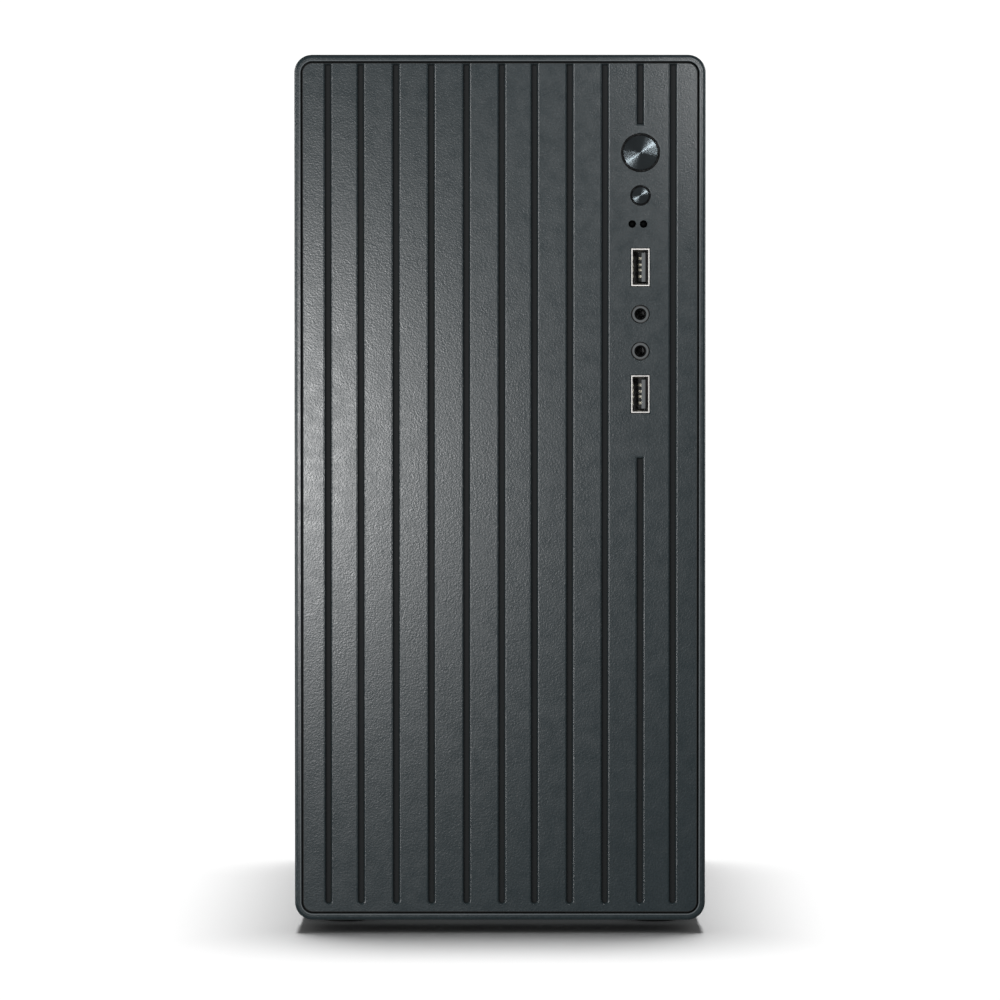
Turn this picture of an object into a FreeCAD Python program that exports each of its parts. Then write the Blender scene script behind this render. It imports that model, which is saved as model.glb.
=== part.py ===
import FreeCAD, Part
import math
import operator
import os
import types

import Sketcher

# A mini-tower desktop computer, closed and ready to use: a ribbed plastic front bezel with its
# buttons and sockets, a folded steel chassis with two slide-off side panels, and what it holds
# inside: mainboard, processor cooler, memory, hard drive, fans, power supply and cables.
#
# Frame: +X to the right as seen from the front, +Y to the rear, +Z up, millimetres. The origin
# is on the floor, midway between the sides and midway between bezel face and thumbscrew heads.
# The mainboard stands on the right with its parts towards -X, behind the left side panel.

doc = FreeCAD.newDocument("ComputerTower")
sheet = doc.addObject("Spreadsheet::Sheet", "Sizes")
d = types.SimpleNamespace()
kept = {}
Vector = FreeCAD.Vector


# ------------------------------------------------------------ sizes that stay bound to the sheet

class Size:
    """A length: its value, and the formula that binds it to the sheet."""

    def __init__(self, text, value):
        self.text = text
        self.value = value

    def __add__(self, other):
        return joined(self, "+", other)

    def __radd__(self, other):
        return joined(other, "+", self)

    def __sub__(self, other):
        return joined(self, "-", other)

    def __rsub__(self, other):
        return joined(other, "-", self)

    def __mul__(self, other):
        return joined(self, "*", other)

    def __rmul__(self, other):
        return joined(other, "*", self)

    def __truediv__(self, other):
        return joined(self, "/", other)

    def __neg__(self):
        return Size(f"(-{self.text})", -self.value)


def as_size(thing):
    return thing if isinstance(thing, Size) else Size(f"({float(thing):.9g})", float(thing))


def joined(left, sign, right):
    """The Size of two lengths joined by a sign."""
    worked = {"+": operator.add, "-": operator.sub, "*": operator.mul, "/": operator.truediv}
    left = as_size(left)
    right = as_size(right)
    return Size(f"({left.text} {sign} {right.text})", worked[sign](left.value, right.value))


def sizes(title, **values):
    """Adds a titled block of driving dimensions to the sheet, and to d under the same names."""
    row = sizes.next_row
    sheet.set(f"A{row}", title)
    for alias, value in values.items():
        row += 1
        sheet.set(f"A{row}", alias)
        sheet.set(f"B{row}", str(value))
        sheet.setAlias(f"B{row}", alias)
        setattr(d, alias, Size(f"Sizes.{alias}", float(value)))
    sizes.next_row = row + 2


sizes.next_row = 1


def bind(thing, path, size):
    thing.setExpression(path, as_size(size).text)


def around(centre, length):
    """The two ends of a length laid evenly about a centre."""
    return (centre - length / 2, centre + length / 2)


def mirrored(span):
    return (-span[1], -span[0])


# ------------------------------------------------------------ solids from Part primitives

TURN = {
    "x": FreeCAD.Rotation(Vector(0, 1, 0), 90),
    "y": FreeCAD.Rotation(Vector(1, 0, 0), -90),
    "z": FreeCAD.Rotation(),
}
ACROSS = {"x": "yz", "y": "xz", "z": "xy"}


def block(x, y, z):
    """A box between two places along each axis."""
    solid = doc.addObject("Part::Box", "block")
    for length, axis, span in zip(("Length", "Width", "Height"), "xyz", (x, y, z)):
        bind(solid, length, span[1] - span[0])
        bind(solid, f"Placement.Base.{axis}", span[0])
    return solid


def stand(solid, axis, span, centre):
    """Stands a round solid along an axis, from span[0] to span[1], at a centre across it."""
    solid.Placement = FreeCAD.Placement(Vector(), TURN[axis])
    bind(solid, "Height", span[1] - span[0])
    bind(solid, f"Placement.Base.{axis}", span[0])
    for name, place in zip(ACROSS[axis], centre):
        bind(solid, f"Placement.Base.{name}", place)
    return solid


def rod(axis, radius, span, centre):
    solid = doc.addObject("Part::Cylinder", "rod")
    bind(solid, "Radius", radius)
    return stand(solid, axis, span, centre)


def cone(axis, radii, span, centre):
    solid = doc.addObject("Part::Cone", "cone")
    bind(solid, "Radius1", radii[0])
    bind(solid, "Radius2", radii[1])
    return stand(solid, axis, span, centre)


def flare(x, y, z, mouth_x, mouth_z):
    """A box whose far end, at y[1], is x by z and whose near end, at y[0], is the mouth."""
    solid = doc.addObject("Part::Wedge", "flare")
    names = ("Xmin", "Xmax", "Zmin", "Zmax", "X2min", "X2max", "Z2min", "Z2max", "Ymin", "Ymax")
    for name, size in zip(names, (*mouth_x, *mouth_z, *x, *z, *y)):
        bind(solid, name, size)
    return solid


def swing(solid, angle, point, place):
    """Turns a solid about Y and moves it so that a point of its own lands at a place."""
    turn = FreeCAD.Rotation(Vector(0, 1, 0), angle)
    solid.Placement = FreeCAD.Placement(Vector(), turn)
    for axis, target, step in zip("xyz", place, turn.multVec(point)):
        bind(solid, f"Placement.Base.{axis}", target - step)
    return solid


def group(*solids):
    """Separate solids of one sub-part."""
    whole = doc.addObject("Part::Compound", "group")
    whole.Links = list(solids)
    return whole


def fuse(*solids):
    whole = doc.addObject("Part::MultiFuse", "fused")
    whole.Shapes = list(solids)
    whole.Refine = True
    return whole


def cut(base, *tools):
    """Cuts tools out of a base. The tools don't overlap one another."""
    whole = doc.addObject("Part::Cut", "cut")
    whole.Base = base
    whole.Tool = tools[0] if len(tools) == 1 else group(*tools)
    whole.Refine = True
    return whole


def picked(shape, where):
    """The numbers of the edges of a shape that a test picks, counted from one."""
    return [number for number, edge in enumerate(shape.Edges, 1) if where(edge)]


def rounded(base, radius, where):
    """Rounds the edges that a test picks."""
    doc.recompute()
    whole = doc.addObject("Part::Fillet", "rounded")
    whole.Base = base
    edges = picked(base.Shape, where)
    whole.Edges = [(number, radius.value, radius.value) for number in edges]
    return whole


def runs(edge, axis):
    """True for a straight edge that runs along an axis."""
    if not isinstance(edge.Curve, Part.Line):
        return False
    return abs(getattr(edge.Curve.Direction, axis)) > 0.999


def lies(edge, axis, place, reach=0.01):
    """True for an edge that lies at one place along an axis."""
    box = edge.BoundBox
    low = getattr(box, f"{axis.upper()}Min")
    high = getattr(box, f"{axis.upper()}Max")
    place = as_size(place).value
    return abs(low - place) < reach and abs(high - place) < reach


def keep(thing, name):
    """Names a sub-part, and its file."""
    thing.Label = name
    kept[name] = thing
    return thing


# ------------------------------------------------------------ solids from sketches

def origin_feature(body, role):
    return next(item for item in body.Origin.OriginFeatures if item.Role == role)


def sketch(body, plane, offset=(0, 0, 0)):
    """A sketch on one of the body's own planes, moved by an offset in the sketch's own axes."""
    drawn = body.newObject("Sketcher::SketchObject", "sketch")
    drawn.AttachmentSupport = [(origin_feature(body, plane), "")]
    drawn.MapMode = "FlatFace"
    for axis, place in zip("xyz", offset):
        bind(drawn, f"AttachmentOffset.Base.{axis}", place)
    return drawn


def hold(drawn, kind, places, size):
    """Adds one dimension, bound to the sheet."""
    number = drawn.addConstraint(Sketcher.Constraint(kind, *places, as_size(size).value))
    bind(drawn, f"Constraints[{number}]", size)


def pin(drawn, shape, point, place):
    hold(drawn, "DistanceX", (-1, 1, shape, point), place[0])
    hold(drawn, "DistanceY", (-1, 1, shape, point), place[1])


def point_of(place):
    return Vector(as_size(place[0]).value, as_size(place[1]).value, 0)


def circle(drawn, centre, radius):
    round_line = Part.Circle(point_of(centre), Vector(0, 0, 1), as_size(radius).value)
    shape = drawn.addGeometry(round_line)
    pin(drawn, shape, 3, centre)
    hold(drawn, "Radius", (shape,), radius)


def polygon(drawn, corners):
    """A closed line through the corners."""
    first = drawn.GeometryCount
    count = len(corners)
    for here, following in zip(corners, corners[1:] + corners[:1]):
        drawn.addGeometry(Part.LineSegment(point_of(here), point_of(following)))
    for side in range(count):
        ends = (first + side, 2, first + (side + 1) % count, 1)
        drawn.addConstraint(Sketcher.Constraint("Coincident", *ends))
    for side, corner in enumerate(corners):
        pin(drawn, first + side, 1, corner)


def oblong(drawn, across, up):
    polygon(drawn, [(across[0], up[0]), (across[1], up[0]), (across[1], up[1]), (across[0], up[1])])


def groove_outline(drawn, centre, width, up):
    """A slot that is square at the top and round at the bottom."""
    left, right = around(centre, width)
    bend = up[0] + width / 2
    first = drawn.GeometryCount
    corners = [(right, bend), (right, up[1]), (left, up[1]), (left, bend)]
    for here, following in zip(corners, corners[1:]):
        drawn.addGeometry(Part.LineSegment(point_of(here), point_of(following)))
    full = Part.Circle(point_of((centre, bend)), Vector(0, 0, 1), as_size(width / 2).value)
    bottom = drawn.addGeometry(Part.ArcOfCircle(full, math.pi, 2 * math.pi))
    for number, corner in enumerate(corners[:3]):
        pin(drawn, first + number, 1, corner)
    pin(drawn, first + 2, 2, corners[3])
    for here, following in ((first, first + 1), (first + 1, first + 2), (first + 2, bottom), (bottom, first)):
        drawn.addConstraint(Sketcher.Constraint("Coincident", here, 2, following, 1))
    hold(drawn, "DistanceY", (-1, 1, bottom, 3), bend)


def pad(body, drawn, length, backward=False):
    made = body.newObject("PartDesign::Pad", "pad")
    made.Profile = drawn
    made.Reversed = backward
    bind(made, "Length", length)
    return made


def pocket(body, drawn, length, backward=False, taper=0):
    made = body.newObject("PartDesign::Pocket", "pocket")
    made.Profile = drawn
    made.Reversed = backward
    bind(made, "Length", length)
    bind(made, "TaperAngle", taper)
    return made


def soften(body, radius, where, kind="Fillet"):
    """Rounds or bevels the edges of the body's last feature that a test picks."""
    doc.recompute()
    last = body.Tip
    made = body.newObject(f"PartDesign::{kind}", "softened")
    made.Base = (last, [f"Edge{number}" for number in picked(last.Shape, where)])
    bind(made, "Radius" if kind == "Fillet" else "Size", radius)
    return made


def repeated(body, feature, axis, length, count):
    """Repeats a feature along an axis of the body."""
    made = body.newObject("PartDesign::LinearPattern", "repeated")
    made.Originals = [feature]
    made.Direction = (origin_feature(body, f"{axis}_Axis"), [""])
    bind(made, "Length", length)
    made.Occurrences = count
    body.Tip = made
    return made


def turned(axis, centre, profile):
    """A solid turned about an axis, from points (place along the axis, radius)."""
    body = doc.addObject("PartDesign::Body", "turned")
    if axis == "x":
        drawn = sketch(body, "XY_Plane", (0, centre[0], centre[1]))
        polygon(drawn, profile)
    elif axis == "y":
        drawn = sketch(body, "XY_Plane", (centre[0], 0, centre[1]))
        polygon(drawn, [(radius, along) for along, radius in profile])
    else:
        drawn = sketch(body, "XZ_Plane", (centre[0], 0, -centre[1]))
        polygon(drawn, [(radius, along) for along, radius in profile])
    made = body.newObject("PartDesign::Revolution", "revolved")
    made.Profile = drawn
    made.ReferenceAxis = (drawn, ["H_Axis" if axis == "x" else "V_Axis"])
    made.Angle = 360
    return body


# ------------------------------------------------------------ driving dimensions

sizes("Outline", tower_width=160, tower_depth=300, tower_height=342, gap=0.3, steel=0.8)
sizes("Bezel frame", bezel_bottom=5, bezel_depth=30, bezel_wall=2.4, bezel_corner=7,
      bezel_edge=1.3, rim=2.6, rim_bevel=0.3, ledge_thick=2, ledge_wide=3.9, face_recess=3,
      finger_thick=1.6, finger_wide=12, finger_reach=9, side_slot_tall=3.2, side_slot_deep=14,
      side_slot_first=60, side_slot_run=208, pull_notch=90)
sizes("Bezel face panel", face_gap=0.45, face_setback=0.4, face_corner=4.1, face_edge=0.25,
      groove_wide=3.1, groove_deep=1, groove_slope=38.5, groove_first=-66.9, band=13.7,
      lip_wide=0.25, lip_deep=0.13, lip_slope=62,
      narrow_band=12.75, groove_top=3.4, groove_bottom=6.2, gap_top=314.7, gap_bottom=185.7)
sizes("Front controls", control_x=54.6, power_z=304, power_hole=7.6, power_disc=6.75,
      reset_z=287.4, reset_hole=4.02, reset_disc=3.33, button_play=0.15,
      disc_thick=0.8, button_wall=1.2, plunger=1.6, plunger_play=0.08)
sizes("Front sockets", usb_upper_z=259.5, usb_lower_z=210.2, usb_tall=14.5, usb_wide=7,
      jack_upper_z=241.3, jack_lower_z=226.9, jack_bore=1.8, jack_collar=3.35, led_z=276.3,
      led_left_x=51.4, led_right_x=55.8, led_radius=1.35, io_board_x=49.4, io_board_thick=1.6)
sizes("Chassis", pan_bottom=6, roof_drop=1, shell_back=142, skin_inset=0.8, wall_inset=1.8,
      web_half=73.5, flange_half=75.3, flange_tall=12, tray_x=72, tray_top=252.5, fold=14)
sizes("Feet", foot_radius=11, foot_x=62, foot_front=-100, foot_back=118)
sizes("Screws", screw_radius=1.6, screw_head=3.2, screw_head_tall=2.2, screw_hole=1.75,
      thumb_radius=4, thumb_x=75.9, thumb_low_z=30, thumb_high_z=240)
sizes("Fans", fan_side=80, fan_deep=25, fan_bore=38.5, fan_hub=18, fan_tip=37.2, fan_pitch=71.5,
      fan_shaft=1.5, fan_fit=0.05, fan_hole=2.2)
sizes("Rear panel", fan_x=-29, fan_z=170, window_x=20.35, window_wide=44.45, window_z=91,
      window_tall=158.75, slot_first_z=79, slot_pitch=20.32, slot_tall=12.5, slot_left=-40,
      slot_right=62, ledge_x=-45.9)
sizes("Mainboard", board_x=64.05, board_thick=1.6, board_front=-46, board_back=139,
      board_bottom=25.3, board_top=251.3, cooler_y=62, cooler_z=182)
sizes("Power supply", psu_half=75, psu_bottom=253, psu_tall=86, psu_deep=140, psu_fan_x=-24,
      inlet_x=45, inlet_z=316, rocker_z=286)
sizes("Hard drive", drive_left=-55, drive_wide=101.6, drive_front=-95, drive_thick=26.1,
      drive_bottom=12, drive_long=147)
sizes("Cables", main_cable=4.5, power_lead=2.4, data_lead=1.8, panel_lead=2.2)
doc.recompute()

side = d.tower_width / 2
front = -d.tower_depth / 2
back = d.tower_depth / 2
bezel_back = front + d.bezel_depth
face_front = front + d.face_setback
face_back = front + d.face_recess
ledge_back = face_back + d.ledge_thick
wall_front = bezel_back + d.gap
wall_back = wall_front + d.steel
pan_top = d.pan_bottom + d.steel
roof_top = d.tower_height - d.roof_drop
roof_bottom = roof_top - d.steel
skin_out = side - d.skin_inset
skin_in = skin_out - d.steel
rear_in = d.shell_back - d.steel
flange_back = d.shell_back + d.gap
psu_top = d.psu_bottom + d.psu_tall
psu_front = rear_in - d.psu_deep
opening_x = (-side + d.rim, side - d.rim)
opening_z = (d.bezel_bottom + d.rim, d.tower_height - d.rim)
cavity_x = (-side + d.bezel_wall, side - d.bezel_wall)
cavity_z = (d.bezel_bottom + d.bezel_wall, d.tower_height - d.bezel_wall)
finger_heights = (40, 172, 296)
stake_heights = (30, 110, 236, 317)


# ------------------------------------------------------------ bezel and its buttons

def finger_x(sign):
    """The snap fingers lie just inside the side walls."""
    span = (cavity_x[1] - 2 * d.finger_thick, cavity_x[1] - d.finger_thick)
    return span if sign > 0 else mirrored(span)


def outside_opening(edge):
    """True for an edge that reaches past the opening for the face panel."""
    box = edge.BoundBox
    past_side = max(-box.XMin, box.XMax) > opening_x[1].value + 0.1
    return past_side or box.ZMax > opening_z[1].value + 0.1 or box.ZMin < opening_z[0].value - 0.1


def make_bezel_frame():
    body = doc.addObject("PartDesign::Body", "bezel")
    outline = sketch(body, "XZ_Plane", (0, 0, -bezel_back))
    oblong(outline, (-side, side), (d.bezel_bottom, d.tower_height))
    pad(body, outline, d.bezel_depth)
    soften(body, d.bezel_corner, lambda edge: runs(edge, "y"))
    recess = sketch(body, "XZ_Plane", (0, 0, -front))
    oblong(recess, opening_x, opening_z)
    pocket(body, recess, d.face_recess)
    soften(body, d.face_corner + d.face_gap,
           lambda edge: runs(edge, "y") and edge.BoundBox.YMax < face_back.value + 0.1)
    soften(body, d.bezel_edge, lambda edge: lies(edge, "y", front) and outside_opening(edge))
    soften(body, d.rim_bevel,
           lambda edge: lies(edge, "y", front) and not outside_opening(edge), "Chamfer")
    window = sketch(body, "XZ_Plane", (0, 0, -face_back))
    oblong(window, (opening_x[0] + d.ledge_wide, opening_x[1] - d.ledge_wide),
           (opening_z[0] + d.ledge_wide, opening_z[1] - d.ledge_wide))
    pocket(body, window, d.ledge_thick + d.rim_bevel)
    cavity = sketch(body, "XZ_Plane", (0, 0, -bezel_back))
    oblong(cavity, cavity_x, cavity_z)
    pocket(body, cavity, bezel_back - ledge_back, backward=True)
    stakes = sketch(body, "XZ_Plane", (0, 0, -face_back))
    for x, z in stake_places():
        circle(stakes, (x, z), 1.45)
    pocket(body, stakes, d.ledge_thick + d.rim_bevel)
    notch = sketch(body, "XY_Plane", (0, 0, d.bezel_bottom))
    oblong(notch, around(0, d.pull_notch), (bezel_back - 14, bezel_back + 1))
    pocket(body, notch, d.bezel_wall, backward=True)
    slot = sketch(body, "YZ_Plane", (0, 0, side))
    oblong(slot, (bezel_back - 4 - d.side_slot_deep, bezel_back - 4),
           (d.side_slot_first, d.side_slot_first + d.side_slot_tall))
    through = pocket(body, slot, d.tower_width)
    repeated(body, through, "Z", d.side_slot_run, 27)
    for sign in (-1, 1):
        ribs = sketch(body, "XZ_Plane", (0, 0, -(bezel_back - 12)))
        fingers = sketch(body, "XZ_Plane", (0, 0, -(bezel_back - 13)))
        for height in finger_heights:
            reach = (finger_x(1)[0], cavity_x[1] + 0.5)
            oblong(ribs, reach if sign > 0 else mirrored(reach), around(height, d.finger_wide))
            oblong(fingers, finger_x(sign), around(height, d.finger_wide))
        pad(body, ribs, 6)
        pad(body, fingers, 13 + d.finger_reach, backward=True)
    return body


def stake_places():
    """The pins that hold the face panel, along both long edges of the ledge."""
    across = opening_x[1] - d.ledge_wide / 2
    return [(sign * across, z) for z in stake_heights for sign in (-1, 1)]


def groove_places():
    """The middle of each groove: the bands between them are alike but for three narrow ones."""
    middle = d.groove_first
    places = [middle]
    for number in range(10):
        middle = middle + (d.narrow_band if number in (0, 5, 9) else d.band)
        places.append(middle)
    return places


def draw_grooves(body, margin):
    """All the grooves' outlines, each wider than the groove by the margin all round."""
    drawn = sketch(body, "XZ_Plane", (0, 0, -face_front))
    wide = d.groove_wide + 2 * margin
    low = d.bezel_bottom + d.groove_bottom - margin
    high = d.tower_height - d.groove_top + margin
    controls_groove = 9
    for number, middle in enumerate(groove_places()):
        if number == controls_groove:
            oblong(drawn, around(middle, wide), (d.gap_top - margin, high))
            groove_outline(drawn, middle, wide, (low, d.gap_bottom + margin))
        else:
            groove_outline(drawn, middle, wide, (low, high))
    return drawn


def make_face_panel():
    body = doc.addObject("PartDesign::Body", "face")
    outline = sketch(body, "XZ_Plane", (0, 0, -face_back))
    oblong(outline, (opening_x[0] + d.face_gap, opening_x[1] - d.face_gap),
           (opening_z[0] + d.face_gap, opening_z[1] - d.face_gap))
    pad(body, outline, face_back - face_front)
    soften(body, d.face_corner, lambda edge: runs(edge, "y"))
    soften(body, d.face_edge, lambda edge: lies(edge, "y", face_front))
    pocket(body, draw_grooves(body, d.lip_wide), d.lip_deep, taper=-d.lip_slope)
    pocket(body, draw_grooves(body, 0), d.groove_deep, taper=-d.groove_slope)
    tubes = sketch(body, "XZ_Plane", (0, 0, -face_back))
    circle(tubes, (d.control_x, d.power_z), d.power_hole + d.button_wall)
    circle(tubes, (d.control_x, d.reset_z), d.reset_hole + d.button_wall)
    for x, z in stake_places():
        circle(tubes, (x, z), 1.3)
    pad(body, tubes, 3.2, backward=True)
    holes = sketch(body, "XZ_Plane", (0, 0, -face_front))
    circle(holes, (d.control_x, d.power_z), d.power_hole)
    circle(holes, (d.control_x, d.reset_z), d.reset_hole)
    for x in (d.led_left_x, d.led_right_x):
        circle(holes, (x, d.led_z), d.led_radius + 0.15)
    for z in (d.jack_upper_z, d.jack_lower_z):
        circle(holes, (d.control_x, z), d.jack_collar + d.gap)
    for z in (d.usb_upper_z, d.usb_lower_z):
        oblong(holes, around(d.control_x, d.usb_wide + 2 * d.gap), around(z, d.usb_tall + 2 * d.gap))
    pocket(body, holes, 8)
    return body


def make_button(z, hole, disc):
    """A cap with a recess for its metal disc, a stem, and a flange that stops it falling out."""
    cap = hole - d.button_play
    seat = disc + 0.12
    edge = (cap - seat) / 3
    flange = (front + 10.4, front + 11.6)
    return turned("y", (d.control_x, z), [
        (front + d.disc_thick, 0), (front + d.disc_thick, seat), (front + 2 * edge, seat),
        (front + edge, seat + edge), (front + edge, cap - edge), (front + 2 * edge, cap),
        (flange[0], cap), (flange[0], cap + 1), (flange[1], cap + 1), (flange[1], 2),
        (front + 16.7, 2), (front + 16.7, 0)])


def make_disc(z, disc):
    """The turned metal disc in a button's face."""
    face = front + 0.1
    return turned("y", (d.control_x, z), [
        (front + d.disc_thick, 0), (front + d.disc_thick, disc), (face + 0.2, disc),
        (face, disc - 0.2), (face, 0)])


def make_bezel():
    keep(make_bezel_frame(), "bezel_frame")
    keep(make_face_panel(), "bezel_face_panel")
    keep(make_button(d.power_z, d.power_hole, d.power_disc), "power_button")
    keep(make_disc(d.power_z, d.power_disc), "power_button_disc")
    keep(make_button(d.reset_z, d.reset_hole, d.reset_disc), "reset_button")
    keep(make_disc(d.reset_z, d.reset_disc), "reset_button_disc")


# ------------------------------------------------------------ front sockets behind the bezel

def make_io_board():
    """A notched board: its upper part steps back to leave room for the buttons."""
    thick = (d.io_board_x, d.io_board_x + d.io_board_thick)
    rear = wall_front - 2
    lower = block(thick, (front + 7, rear), (200, 281))
    upper = block(thick, (front + 18.5, rear), (280, 312))
    holes = [rod("x", d.screw_hole, (thick[0] - 1, thick[1] + 1), place) for place in io_screws()]
    return cut(fuse(lower, upper), *holes)


def io_screws():
    middle = wall_front - 8
    return [(middle, 228), (middle, 262), (middle, 295.5)]


def make_io_bracket():
    """A folded steel plate beside the board, with its foot on the front wall."""
    outer = d.io_board_x - 1.2
    plate = block((outer - d.steel, outer), (wall_front - 13, wall_front), (203, 306))
    foot = block((outer - 13, outer), (wall_front - d.steel, wall_front), (203, 306))
    posts = [rod("x", 3, (outer - 0.1, d.io_board_x), place) for place in io_screws()]
    holes = [rod("x", d.screw_hole, (outer - 2, d.io_board_x + 1), place) for place in io_screws()]
    return cut(fuse(plate, foot, *posts), *holes)


def usb_z():
    return (d.usb_upper_z, d.usb_lower_z)


def make_usb_shell(z):
    """An upright folded shell with a flared mouth."""
    mouth_x = around(d.control_x, d.usb_wide)
    mouth_z = around(z, d.usb_tall)
    body_x = around(d.control_x, d.usb_wide - 1.2)
    body_z = around(z, d.usb_tall - 1.4)
    mouth = (front + 0.5, front + 2)
    shell = block(body_x, (mouth[1] - 0.1, front + 14.5), body_z)
    lip = flare(body_x, mouth, body_z, mouth_x, mouth_z)
    wall = 0.35
    inner_x = around(d.control_x, d.usb_wide - 1.2 - 2 * wall)
    inner_z = around(z, d.usb_tall - 1.4 - 2 * wall)
    inside = block(inner_x, (mouth[1] - 0.1, front + 14.1), inner_z)
    inner_lip = flare(inner_x, (mouth[0] - 0.1, mouth[1]), inner_z,
                      around(d.control_x, d.usb_wide - 2 * wall), around(z, d.usb_tall - 2 * wall))
    return cut(fuse(shell, lip), fuse(inside, inner_lip))


def make_usb_tongue(z):
    """The insulator: a tongue along the right side, with four crowned contact strips on its left face."""
    right = d.control_x + d.usb_wide / 2 - 1.2
    tongue = block((right - 1.8, right), (front + 1.5, front + 12), around(z, 11.2))
    root = block(around(d.control_x, 4.8), (front + 12, front + 14), around(z, 12.2))
    strips = []
    for step in (-3.5, -1, 1, 3.5):
        strips.append(block((right - 2, right - 1.7), (front + 2.5, front + 12), around(z + step, 1)))
        strips.append(rod("z", 1.1, around(z + step, 1), (right - 1.8, front + 5.5)))
    return fuse(tongue, root, *strips)


def make_audio_jack(z):
    """A board-mounted 3.5 mm jack: a square body and a round collar with a bevelled mouth."""
    face = front + 0.4
    body = block((d.io_board_x + d.io_board_thick, d.control_x + 3.6), (front + 4, front + 16), around(z, 7))
    collar = rod("y", d.jack_collar, (face, front + 4.5), (d.control_x, z))
    mouth = cone("y", (2.4, d.jack_bore), (face - 0.01, face + 0.6), (d.control_x, z))
    bore = rod("y", d.jack_bore, (face - 0.5, front + 14.5), (d.control_x, z))
    return cut(fuse(body, collar), fuse(mouth, bore))


def make_leds():
    """Two 3 mm lamps in one black spacer on the board."""
    spacer = block((d.io_board_x + d.io_board_thick, 57.6), (front + 6.8, front + 13), around(d.led_z, 5.6))
    solids = [spacer]
    for x in (d.led_left_x, d.led_right_x):
        solids.append(rod("y", d.led_radius, (front + 2, front + 7), (x, d.led_z)))
        dome = doc.addObject("Part::Sphere", "dome")
        bind(dome, "Radius", d.led_radius)
        for axis, place in zip("xyz", (x, front + 2, d.led_z)):
            bind(dome, f"Placement.Base.{axis}", place)
        solids.append(dome)
    return fuse(*solids)


def switch_y():
    return (front + 18.5, front + 23.5)


def make_switches():
    """Two tact switches beside the board, each with the bore that its plunger slides in."""
    housings = []
    for z in (d.power_z, d.reset_z):
        x = (d.io_board_x + d.io_board_thick, d.control_x + 3.3)
        housing = block(x, switch_y(), around(z, 6.6))
        deep = (switch_y()[0] - 1, switch_y()[1] - 0.7)
        bore = rod("y", d.plunger + d.plunger_play, deep, (d.control_x, z))
        housings.append(cut(housing, bore))
    return group(*housings)


def make_plunger(z):
    """The plunger that a button's stem pushes."""
    return turned("y", (d.control_x, z), [
        (front + 17, 0), (front + 17, 1.2), (front + 17.4, d.plunger),
        (switch_y()[1] - 2.5, d.plunger), (switch_y()[1] - 2.5, 0)])


def make_front_sockets():
    keep(make_io_board(), "front_io_board")
    keep(make_io_bracket(), "front_io_bracket")
    keep(group(*[make_usb_shell(z) for z in usb_z()]), "front_usb_shells")
    keep(group(*[make_usb_tongue(z) for z in usb_z()]), "front_usb_tongues")
    jacks = [make_audio_jack(z) for z in (d.jack_upper_z, d.jack_lower_z)]
    keep(group(*jacks), "front_audio_jacks")
    keep(make_leds(), "status_leds")
    keep(make_switches(), "button_switches")
    keep(make_plunger(d.power_z), "power_switch_plunger")
    keep(make_plunger(d.reset_z), "reset_switch_plunger")


# ------------------------------------------------------------ chassis

def shell_plate(z, flange_z):
    """The floor or the roof: a plate with a flange along each side."""
    plate = block(mirrored_pair(skin_out), (wall_front, d.shell_back), z)
    solids = [plate]
    for sign in (-1, 1):
        flange_x = (d.flange_half, d.flange_half + d.steel)
        flange_y = (wall_front + 1.2, rear_in - d.fold)
        solids.append(block(flange_x if sign > 0 else mirrored(flange_x), flange_y, flange_z))
    return fuse(*solids)


def mirrored_pair(half):
    return (-half, half)


def make_bottom_pan():
    plate = shell_plate((d.pan_bottom, pan_top), (pan_top - 0.1, pan_top + d.flange_tall))
    holes = [rod("z", d.screw_hole, (d.pan_bottom - 1, pan_top + 1), place) for place in foot_places()]
    slots = []
    for row in range(9):
        slots.append(block(around(0, 60), around(-30 + 9 * row, 3), (d.pan_bottom - 1, pan_top + 1)))
    return cut(plate, *holes, *slots)


def make_top_panel():
    return shell_plate((roof_bottom, roof_top), (roof_bottom - d.flange_tall, roof_bottom + 0.1))


def upright_wall(y, fold_y):
    """A front or rear wall: a sheet whose top and bottom edges fold over, spot-welded to both."""
    sheet_z = (pan_top + 1.4, roof_bottom - 1.4)
    wide = block(mirrored_pair(side - d.wall_inset), y, sheet_z)
    tall = block(mirrored_pair(d.web_half), y, (pan_top, roof_bottom))
    low = block(mirrored_pair(d.web_half), fold_y, (pan_top, pan_top + d.steel))
    high = block(mirrored_pair(d.web_half), fold_y, (roof_bottom - d.steel, roof_bottom))
    return fuse(wide, tall, low, high)


def make_front_wall():
    y = (wall_front, wall_back)
    through = (wall_front - 1, wall_back + 1)
    wall = upright_wall(y, (wall_front, wall_back + d.fold))
    tools = []
    for sign in (-1, 1):
        span = (finger_x(1)[0] - d.gap, finger_x(1)[1] + d.gap)
        for height in finger_heights:
            tools.append(block(span if sign > 0 else mirrored(span), through,
                               around(height, d.finger_wide + 2 * d.gap)))
    for column in range(9):
        for row in range(8):
            tools.append(rod("y", 3.2, through, (-64 + 10.5 * column, 182 + 10.5 * row)))
    tools.append(rod("y", 6, through, (d.control_x, 190)))
    return cut(wall, *tools)


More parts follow.
